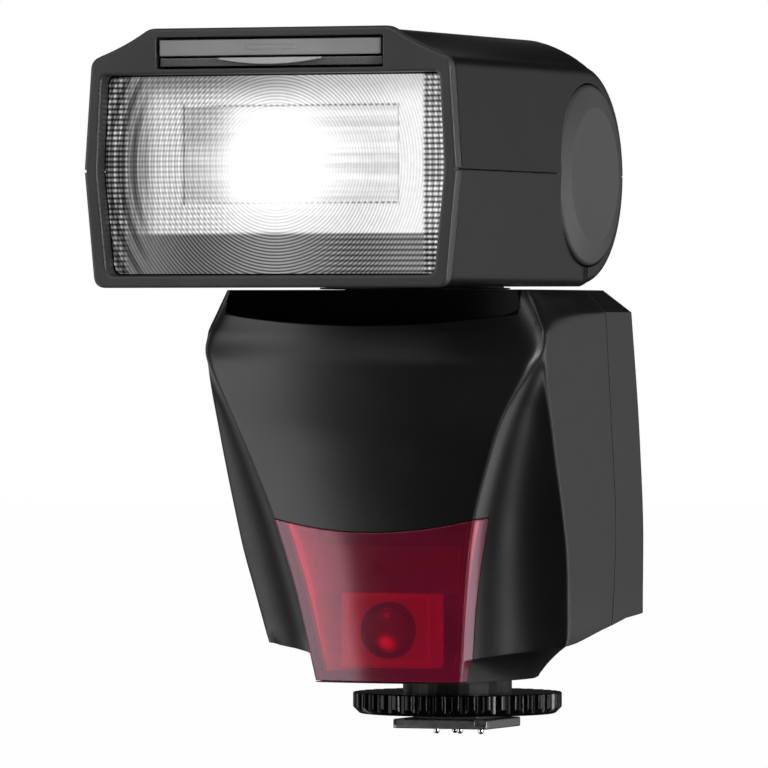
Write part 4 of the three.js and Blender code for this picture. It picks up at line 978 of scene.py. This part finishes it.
def focus_lamp():
    axis, radius, front, _ = round_node("focus_lamp_lens")
    width, height = LAMP_PLATE["size"]
    plate_y = LAMP_PLATE["front"]

    def frame_outline(width, height, corner):
        return rounded_box(width, height, corner, (0, axis[2] + 0.2))

    plate = prism("y", frame_outline(width, height, 1), plate_y, span("focus_lamp_frame", "y")[1],
                  soft_start=0.25)
    groove = cut(prism("y", frame_outline(width - 2.2, height - 1.4, 0.8), plate_y - 2, plate_y + 0.6),
                 prism("y", frame_outline(width - 3.4, height - 2.6, 0.8), plate_y - 3, plate_y + 1))
    bore = rod("y", radius + 0.3, plate_y - 6, plate_y + 2.5, axis)
    stand_in(cut(plate, groove, bore), "focus_lamp_frame", LAMP_FRAME, "body")
    brow = prism("y", rounded_box(*BROW["size"], 0.8, (0, BROW["height"])), *BROW["y"], soft_start=0.2)
    piece(brow, "focus_lamp_brow", LAMP_BROW, "body")
    collar = [(radius - 1.1, front + 1.4), (radius - 0.9, front + 0.6), (radius - 0.3, front + 0.4),
              (radius, front + 1), (radius, front + 3.4), (radius - 1.1, front + 3.4)]
    piece(turned("y", collar, axis), "focus_lamp_rim", INNER, "body")
    dome = domed(radius - 1.3, front + 0.2, front + 2.4, front + 3.6, 0.1, 14)
    stand_in(turned("y", dome, axis), "focus_lamp_lens", LAMP_DOME, "body")
    axis, radius, near, far = round_node("focus_led")
    bulb = turned("y", domed(radius, near, near + 1.1, far, 0.15), axis, 32)
    stand_in(bulb, "focus_led", LAMP_RED, "body")


def rear_controls():
    for name in REAR_BUTTONS:
        cap = prism("y", facing_outline(name, 0, 0, 1.2), *span(name, "y"), soft_end=0.35)
        stand_in(cap, name, BUTTON, name)
    axis, radius, near, far = round_node("test_button")
    dish = [(0, near), (radius, near), (radius, far - 0.7), (radius - 0.2, far - 0.25), (radius - 0.7, far),
            (radius - 1.3, far - 0.05), (1.2, far - 0.45), (0, far - 0.5)]
    stand_in(turned("y", dish, axis), "test_button", BUTTON, "test_button")
    axis, radius, near, far = round_node("ready_lamp")
    crown = 0.6
    bead = [(radius * math.cos(turn), far - crown + crown * math.sin(turn))
            for turn in np.linspace(0.1, 1.45, 8)]
    bead = turned("y", [(0, near), (radius, near), (radius, far - crown), *bead, (0, far)], axis, 48)
    stand_in(bead, "ready_lamp", LAMP_RED, "body")
    centre, size = centre_and_size("power_switch")
    near, far = span("power_switch", "y")
    face = along(REAR_EDGE, centre[2]) + REAR_CORNER
    slider = prism("y", facing_outline("power_switch", 0, 0, 0.8), near, face + 0.3, soft_end=0.15)
    for step in (-0.8, 0, 0.8):
        ridge = rounded_box(0.55, size[2] - 0.9, 0.2, (centre[0] + step, centre[2]))
        slider = joined(slider, prism("y", ridge, face + 0.1, far, soft_end=0.2))
    stand_in(slider, "power_switch", BUTTON, "power_switch")


# ---- foot pieces

RING_RIBS = 40
RIB_DEPTH = 0.7 / 0.72
# Place along one rib, from 0 to 1, and how far the outline is cut in there, to be scaled by the depth
RIB_SHAPE = [[0.04, 0.12], [0.09, 0.02], [0.2, 0], [0.36, 0], [0.45, 0.03], [0.5, 0.14], [0.56, 0.5],
             [0.62, 0.68], [0.72, 0.72], [0.86, 0.7], [0.95, 0.5]]


def lock_ring():
    low, high = box("lock_ring")
    radius = high[0]
    outline = []
    for rib in range(RING_RIBS):
        for share, depth in RIB_SHAPE:
            turn = (rib + share) * 2 * math.pi / RING_RIBS
            reach = radius - RIB_DEPTH * depth
            outline.append((reach * math.cos(turn), reach * math.sin(turn)))
    ribs = prism("z", outline, low[2], high[2], soft_end=0.25)
    bevel = turned("z", [(0, low[2]), (radius - 1.4, low[2]), (radius - 1.1, low[2] + 0.1),
                         (radius - 0.1, low[2] + 1.1), (radius + 0.1, low[2] + 1.4),
                         (radius + 0.1, high[2] + 1), (0, high[2] + 1)])
    bore_radius = span("clamp_washer", "x")[1] - 0.25
    bore = rod("z", bore_radius, 0, 9)
    recess = rod("z", bore_radius + 0.85, 0, span("clamp_washer", "z")[1] + 0.4)
    stand_in(cut(common(ribs, bevel), bore, recess), "lock_ring", RING, "lock_ring")


def shoe_foot():
    low, high = box("shoe_foot")
    thick, front_corner, rear_corner, stand_half, pin_hole = 1.7, 0.8, 1.5, (6.2, 6), 0.8
    plate = softened([(low[0], low[1], front_corner), (high[0], low[1], front_corner),
                      (high[0], high[1], rear_corner), (low[0], high[1], rear_corner)])
    plate = prism("z", plate, 0, thick, soft_start=0.25, soft_end=0.2)
    stand = block((-stand_half[0], stand_half[0]), (-stand_half[1], stand_half[1]), (thick - 0.5, high[2]))
    half_width, half_length = (high - low)[:2] / 2
    reliefs = [block(sided(side, half_width - 2.4, half_width - 0.25),
                     (-half_length - 1, -half_length + 0.5), (thick - 1.05, thick + 1)) for side in (-1, 1)]
    foot = cut(joined(plate, stand), *reliefs)
    for node in [joint["child"] for name, joint in JOINTS.items() if name.startswith("contact_pin")]:
        centre, size = centre_and_size(node)
        axis = (centre[0], centre[1], 0)
        bottom, top = span(node, "z")
        radius = size[0] / 2
        foot = cut(foot, rod("z", pin_hole, -2, 9, axis, 24))
        pin = turned("z", domed(radius, bottom, bottom + radius, top, 0.2), axis, 32)
        stand_in(pin, node, PIN_METAL, node)
    stand_in(foot, "shoe_foot", FOOT_METAL, "body")


# ---- neck


def swivel_neck():
    low, high = box("swivel_neck")
    swivel = (0, SWIVEL_Y, 0)
    radius = high[2] - TILT_Z
    half, soft, wall, cheek = 17.0, 0.6, 2.0, 2.5
    flange_bottom, flange_top = BODY_TOP + 0.15, BODY_TOP + 0.42
    spigot_radius, shaft_radius, cable_radius = 12.7, 3.3, 5
    waist_x, waist_y = 14, 8.5
    groove_floor, groove_half = radius - 0.35, 0.25
    profile = [(0, -half), (radius - soft, -half), (radius, -half + soft), (radius, half - soft),
               (radius - soft, half), (0, half)]
    drum = turned("x", profile, TILT_CENTRE, 128)
    for centre in np.linspace(-half + 3, half - 3, 5):
        groove = [(reach, centre + side * groove_half) for reach, side in
                  ((groove_floor, -1), (radius + 1, -1), (radius + 1, 1), (groove_floor, 1))]
        drum = cut(drum, turned("x", groove, TILT_CENTRE, 128))
    flange = rod("z", -low[0], flange_bottom, flange_top, swivel, 128)
    spigot = rod("z", spigot_radius, low[2], flange_top, swivel)
    waist = block((-waist_x, waist_x), (SWIVEL_Y - waist_y, SWIVEL_Y + waist_y),
                  (BODY_TOP + 0.3, TILT_Z - 14))
    shaft = rod("x", shaft_radius, -FAR, FAR, TILT_CENTRE, 32)
    hollow = rod("x", radius - wall, -half + cheek, half - cheek, TILT_CENTRE, 48)
    cable = rod("z", cable_radius, 60, TILT_Z - 5, swivel, 32)
    neck = cut(joined(flange, spigot, drum, waist), hollow, shaft, cable)
    stand_in(neck, "swivel_neck", INNER, "neck")


# ---- head


def head_half(shrink, fullness=0.0):
    """Right half of the head's cross-section from the top middle to the bottom middle."""
    top, bottom = HEAD_TOP - shrink, HEAD_BOTTOM + shrink
    widest = np.array((HEAD_HALF_WIDTH - shrink, TILT_Z))
    crown = bezier([(x - shrink * x_shrink + fullness * x_full, z - shrink + fullness * z_full)
                    for x, z, x_shrink, x_full, z_full in CROWN], 14)
    first = softened([(0, top), (CROWN[0][0] - 0.1 - shrink * CROWN[0][2], top, 1.0), tuple(crown[3])])
    shoulder = softened([tuple(crown[-1]), (SHOULDER[0] - shrink, SHOULDER[1] - shrink * 0.8, 1.5),
                         tuple(widest)], 8)
    corner = softened([tuple(widest), (LOWER_CORNER_X - shrink, bottom, 2.0), (0, bottom)], 8)
    return [np.array((0, top)), *first[1:-1], *crown[3:], *shoulder[1:-1], widest, *corner[1:-1],
            np.array((0, bottom))]


def head_outline(shrink, fullness=0.0):
    half = head_half(shrink, fullness)
    return half + [np.array((-x, z)) for x, z in half[-2:0:-1]]


def closed_half(shrink, upper, fullness=0.0):
    """The part of the outline above (or below) the tilt axis, closed along the axis' height."""
    side = 1 if upper else -1
    centre_z = TILT_Z + side * 0.01
    points = [p for p in head_outline(shrink, fullness) if side * (p[1] - TILT_Z) >= -1e-6]

    def turn(point):
        angle = math.atan2(point[1] - centre_z, point[0])
        return angle % (2 * math.pi) if upper else angle

    return sorted(points, key=turn)


def swept_half(shrink, start, upper, turns):
    """Half of the head, pushed back from the front and then turned about the tilt axis."""
    rings = [raised("y", closed_half(shrink + inward, upper), start + depth)
             for inward, depth in rim(HEAD_RIM, 5)]
    for share in np.linspace(0.05, 1, 16):
        outline = closed_half(shrink, upper, share * share * (3 - 2 * share))
        rings.append(raised("y", outline, lerp(start, SWIVEL_Y, share)))
    for turn in turns:
        rings.append([(x, SWIVEL_Y + (z - TILT_Z) * math.sin(turn), TILT_Z + (z - TILT_Z) * math.cos(turn))
                      for x, z in outline])
    return loft(rings)


def low_quarter(shrink):
    """The rear of the head below the tilt axis, round about it."""
    radius = REAR_RADIUS - shrink
    right = sorted((z - TILT_Z, x) for x, z in head_half(shrink) if -1e-6 < z - TILT_Z < radius)
    right.append((radius, np.interp(radius, [r for r, _ in right], [x for _, x in right])))
    profile = [(0, -right[0][1]), *[(r, -x) for r, x in right[1:]], *[(r, x) for r, x in right[:0:-1]],
               (0, right[0][1])]
    barrel = turned("x", profile, TILT_CENTRE, 128)
    return common(barrel, block((-60, 60), (SWIVEL_Y - 0.02, 5), (HEAD_BOTTOM + shrink, TILT_Z)))


def head_volume(shrink, front, upper):
    if upper:
        whole = swept_half(shrink, front, True, np.linspace(0, math.pi / 2, 25)[1:])
    else:
        whole = joined(swept_half(shrink, front, False, []), low_quarter(shrink))
    return cut(whole, block((-60, 60), (HEAD_REAR - shrink, 40), (60, 150)))


def head_shell(upper):
    disc_floor = -span("pivot_cap", "x")[1] - 0.1
    inner = head_volume(HEAD_WALL, HEAD_FRONT - 4.8, upper)
    wells = []
    for side in (-1, 1):
        inner = cut(inner, rod("x", DISC_RADIUS + 2, *sided(side, disc_floor - HEAD_WALL, 40), TILT_CENTRE))
        wells.append(rod("x", DISC_RADIUS + 0.3, *sided(side, disc_floor, 40), TILT_CENTRE, 128))
    stem_hole = rod("x", 3.4, disc_floor - 3, disc_floor + 1, TILT_CENTRE, 32)
    neck_slots = [block(NECK_SLOT["x"], y, z) for y, z in (NECK_SLOT["below"], NECK_SLOT["behind"])]
    tools = [inner, *wells, stem_hole, *neck_slots]
    if upper:
        half = SLOT["half_width"]
        tools.append(block((-half, half), (-FAR, span("wide_panel", "y")[1] + 1.5),
                           (SLOT["bottom"], SLOT["top"])))
    other_half = (60, TILT_Z + HEAD_SEAM_GAP) if upper else (TILT_Z - HEAD_SEAM_GAP, 150)
    tools.append(block((-60, 60), (-FAR, 20), other_half))
    name = "head_upper_shell" if upper else "head_lower_shell"
    stand_in(cut(head_volume(0, HEAD_FRONT, upper), *tools), name, HEAD_SHELL, "head")


def head_shells():
    for upper in (True, False):
        head_shell(upper)


def lens_outline(margin):
    m = margin
    right = [(LENS["half_top"] + m, LENS["top"] + m, 1.3), (LENS["half_middle"] + m, TILT_Z, 2.0),
             (LENS["half_bottom"] + m, LENS["bottom"] - m, 1.6)]
    left = [(-x, z, size) for x, z, size in right[::-1]]
    return softened(right + left)


def front_bezel():
    low, high = box("front_bezel")
    groove = high[1] - 1.2
    plate = joined(prism("y", head_outline(HEAD_HALF_WIDTH - high[0]), low[1], groove, 0.5, 0.35),
                   prism("y", head_outline(1.1), groove - 1, high[1]))
    flare = 0.45
    stations = [(flare, low[1] - 2), *[(inward, low[1] + depth) for inward, depth in rim(flare, 5)],
                (0, high[1] + 2)]
    opening = loft([raised("y", counter_clockwise(lens_outline(margin)), y) for margin, y in stations])
    half = SLOT["half_width"]
    slot_corners = [(-half, SLOT["bottom"]), (half, SLOT["bottom"]), (half, SLOT["front_top"]),
                    (-half, SLOT["front_top"])]
    slot = prism("y", softened([(x, z, 0.3) for x, z in slot_corners]), low[1] - 3, high[1] + 3)
    notches = [block(sided(side, high[0] - 0.5, high[0] + 1), (low[1] - 1, high[1] + 1),
                     (TILT_Z - 0.25, TILT_Z + 0.25)) for side in (-1, 1)]
    stand_in(cut(plate, opening, slot, *notches), "front_bezel", BEZEL, "head")


def fresnel_lens():
    low, high = box("fresnel_lens")
    valley, crest = low[1] + 0.3, low[1] + 0.02
    reach = math.hypot(high[0], high[2] - LENS_CENTRE_Z) + 4
    profile = [(0, valley)]
    for i in range(int(reach / RING_PITCH)):
        profile += [((i + 0.04) * RING_PITCH, valley), ((i + 0.9) * RING_PITCH, crest)]
    profile += [(reach, valley), (reach, high[1]), (0, high[1])]
    plate = turned("y", profile, (0, 0, LENS_CENTRE_Z), 180)
    shape = prism("y", lens_outline(-0.3), low[1] - 1, high[1] + 1)
    stand_in(common(plate, shape), "fresnel_lens", LENS_CLEAR, "head", sharp=20)


def pull_out_panels():
    low, high = box("bounce_card")
    centre, size = centre_and_size("bounce_card")
    bar_back = low[1] + 1.6
    bar = prism("y", rounded_box(size[0], size[2], 0.25, (0, centre[2])), low[1], bar_back, soft_start=0.2)
    sheet = block((low[0], high[0]), (bar_back - 0.1, high[1]), (low[2] + 0.3, low[2] + 1.2))
    grip = prism("y", rounded_box(9.4, 0.8, 0.25, (0.4, centre[2])), low[1] - 0.15, low[1] + 0.4,
                 soft_start=0.1)
    stand_in(sheet, "bounce_card", CARD_SHEET, "bounce_card")
    piece(bar, "bounce_card_bar", CARD, "bounce_card")
    piece(grip, "bounce_card_grip", CARD, "bounce_card")
    low, high = box("wide_panel")
    front, top, lip_half = low[1] + 1, high[2], 9.6
    slab = block((low[0], high[0]), (front, high[1]), (low[2], top))
    stand_in(slab, "wide_panel", SLAB, "wide_panel")
    arc = bezier([(lip_half - 0.2, top - 0.3), (0, low[2] - 0.6), (0.2 - lip_half, top - 0.3)], 24)
    lip = prism("y", [(-lip_half, top), (lip_half, top), *arc], low[1], front + 0.2, soft_start=0.15)
    piece(lip, "wide_panel_pull_lip", LIP, "wide_panel")


def zoom_unit():
    low, high = box("reflector")
    half = high[0]
    half_height = (high[2] - low[2]) / 2

    def trough(margin, front):
        reach = half_height - margin
        back = high[1] - margin
        lower = bezier([(front, -reach), (back - 3, -reach), (back, 0)], 16)
        outline = [*lower, *[(y, -z) for y, z in lower[-2::-1]]]
        return prism("x", [(y, TILT_Z + z) for y, z in outline], -half + margin, half - margin)

    tube_y = centre_and_size("flash_tube")[0][1]
    hole = rod("x", 2.5, -30, 30, (0, tube_y, TILT_Z), 24)
    stand_in(cut(trough(0, low[1]), trough(0.8, low[1] - 2), hole), "reflector", MIRROR, "zoom_carriage")
    end = span("flash_tube", "x")[1]
    half_tube = [(1.1, end), (1.2, end - 1.4), (2, end - 2.4)]
    tube = [(0, -end), *[(radius, -x) for radius, x in half_tube], *half_tube[::-1], (0, end)]
    stand_in(turned("x", tube, (0, tube_y, TILT_Z), 48), "flash_tube", CLEAR, "zoom_carriage")


def tilt_discs():
    for node, side, body, stem in (("tilt_release_button", 1, "tilt_release_button", 5.7),
                                   ("pivot_cap", -1, "head", 0)):
        inner, face = sorted(abs(x) for x in span(node, "x"))
        outer = [(0, face - 0.16), (8, face - 0.14), (11.3, face - 0.06), (11.9, face), (12.3, face - 0.05),
                 (15.6, face - 0.8), (DISC_RADIUS - 0.2, face - 1), (DISC_RADIUS, face - 1.3)]
        back = [(3, inner + stem), (3, inner)] if stem else []
        profile = [*outer, (DISC_RADIUS, inner + stem), *back, (0, inner)]
        disc = turned("x", [(radius, side * x) for radius, x in profile], TILT_CENTRE, 160)
        stand_in(disc, node, DISC, body)


# ---- CAD nodes that stay

CARRIED = {
    INNER: ["battery_box", "main_capacitor", "foot_block", "panel_tray", "zoom_carriage"],
    CELL: ["cell_1", "cell_2", "cell_3", "cell_4"],
    BOARD: ["main_board"],
    STEEL: ["battery_end_contacts", "battery_door_pin", "foot_screw_left", "foot_screw_right",
            "swivel_retaining_ring", "tilt_shaft", "guide_rod_left", "guide_rod_right", "zoom_motor",
            "tilt_click_plate", "clamp_washer"],
    BRASS: ["trigger_coil", "charge_transformer", "battery_door_contacts", "lead_screw"],
    SCREEN: ["display_module"],
    CLEAR: ["display_window"],
}


def carry_over():
    """Gives the CAD nodes that are right as they are their materials and slightly broken edges."""
    for material, names in CARRIED.items():
        for name in names:
            node = frame["nodes"][name]
            node.data.materials.clear()
            node.data.materials.append(material)
            weld = node.modifiers.new("weld", "WELD")
            weld.merge_threshold = 1e-5
            bevel = node.modifiers.new("broken_edges", "BEVEL")
            bevel.width = 0.12 * MM
            bevel.segments = 2
            bevel.limit_method = "ANGLE"
            bevel.angle_limit = math.radians(40)


# ---- stage, light and camera

# Lengths in metres, the azimuth in degrees and the focal length in millimetres
EYE_DISTANCE = 1.6
EYE_AZIMUTH = 21.5
EYE_HEIGHT = 0.07278
LENS_LENGTH = 409.1
AIM_LEFT = 0.01347
AIM_HEIGHT = 0.06288
FLOOR_Z = -0.0016
LIT_CENTRE = Vector((0, -0.03, 0.07))


def floor_material():
    """A pale floor that the camera sees evenly lit and that lets the studio light pass."""
    nodes = Nodes("pale_floor")
    level = nodes.spread(nodes.noise(3), 0.985, 1.0)
    seen = nodes.add("Emission", {"Color": rgb(1, 1, 1), "Strength": level})
    camera = nodes.add("LightPath").outputs["Is Camera Ray"]
    return nodes.finish(nodes.blended(camera, nodes.add("BsdfTransparent"), seen))


def studio():
    floor = prism("z", rounded_box(4000, 4000, 300), FLOOR_Z / MM - 5, FLOOR_Z / MM)
    floor.name = "floor"
    floor.data.name = "floor"
    floor.scale = (MM, MM, MM)
    floor.data.materials.append(floor_material())
    world = bpy.data.worlds.new("studio")
    bpy.context.scene.world = world
    nodes = Nodes("studio", world)
    camera = nodes.add("LightPath").outputs["Is Camera Ray"]
    level = nodes.add("Mix", {0: camera, 2: 0.02, 3: 1.0}, data_type="FLOAT").outputs[0]
    back = nodes.add("Background", {"Color": rgb(1, 1, 1), "Strength": level})
    nodes.add("OutputWorld", {"Surface": back.outputs[0]})


def heading(azimuth, elevation):
    """Unit vector; azimuth turns from the front (-Y) towards +X, both in degrees."""
    a, e = math.radians(azimuth), math.radians(elevation)
    return Vector((math.sin(a) * math.cos(e), -math.cos(a) * math.cos(e), math.sin(e)))


# Name, azimuth, elevation, distance in metres, width and height in metres, radiance
SOFTBOXES = [
    ("left_softbox", -57, -12, 1.0, 0.7, 1.1, 2.3),
    ("right_softbox", 76, 0, 1.0, 0.3, 2.0, 2.4),
    ("rear_right_softbox", 131, -14, 1.0, 0.3, 0.8, 2.4),
    ("back_right_softbox", 158, 0, 1.2, 0.5, 0.7, 0.38),
    ("back_left_softbox", -124, -10, 1.0, 0.5, 0.8, 0.5),
    ("top_softbox", 80, 62, 1.0, 0.6, 0.5, 1.6),
    ("front_softbox", -20, 27, 1.1, 0.7, 0.7, 1.9),
    ("right_edge_strip", 66, 3, 1.0, 0.1, 0.5, 30.0),
    ("back_high_softbox", -152, 32, 1.1, 0.5, 0.5, 0.4),
]


def aimed(holder, location, way, axis):
    """Places a light or camera and turns its axis along the way."""
    holder.location = location
    holder.rotation_mode = "QUATERNION"
    holder.rotation_quaternion = way.to_track_quat(axis, "Y")


def lights():
    for name, azimuth, elevation, distance, width, height, radiance in SOFTBOXES:
        light = bpy.data.lights.new(name, "AREA")
        light.shape = "RECTANGLE"
        light.size, light.size_y = width, height
        light.energy = radiance * math.pi * width * height
        way = heading(azimuth, elevation)
        aimed(linked(name, light), LIT_CENTRE + way * distance, way, "Z")


def camera():
    data = bpy.data.cameras.new("camera")
    data.lens = LENS_LENGTH
    data.sensor_width = 36
    data.clip_end = 20
    holder = linked("camera", data)
    location = heading(EYE_AZIMUTH, 0) * EYE_DISTANCE + Vector((0, 0, EYE_HEIGHT))
    aim = heading(EYE_AZIMUTH - 90, 0) * AIM_LEFT + Vector((0, 0, AIM_HEIGHT))
    aimed(holder, location, aim - location, "-Z")
    bpy.context.scene.camera = holder


# The frame and brow behind the red window get a faint painted glow, painted light that brightens them through
# the window.
LAMP_FRAME = plastic("lamp_frame_plastic", (0.5, 0.45, 0.45), 0.4, painted_glow=0.26)
LAMP_BROW = plastic("lamp_brow_plastic", (0.2, 0.18, 0.18), 0.4, painted_glow=0.03)
LAMP_DOME = lamp_dome()

BODY = body_outside()
for build in (body_shells, focus_window, battery_door, focus_lamp, rear_controls, lock_ring, shoe_foot,
              swivel_neck, head_shells, front_bezel, fresnel_lens, pull_out_panels, zoom_unit, tilt_discs):
    build()
bpy.data.objects.remove(BODY)
carry_over()
studio()
lights()
camera()
bpy.context.scene.view_settings.view_transform = "Standard"
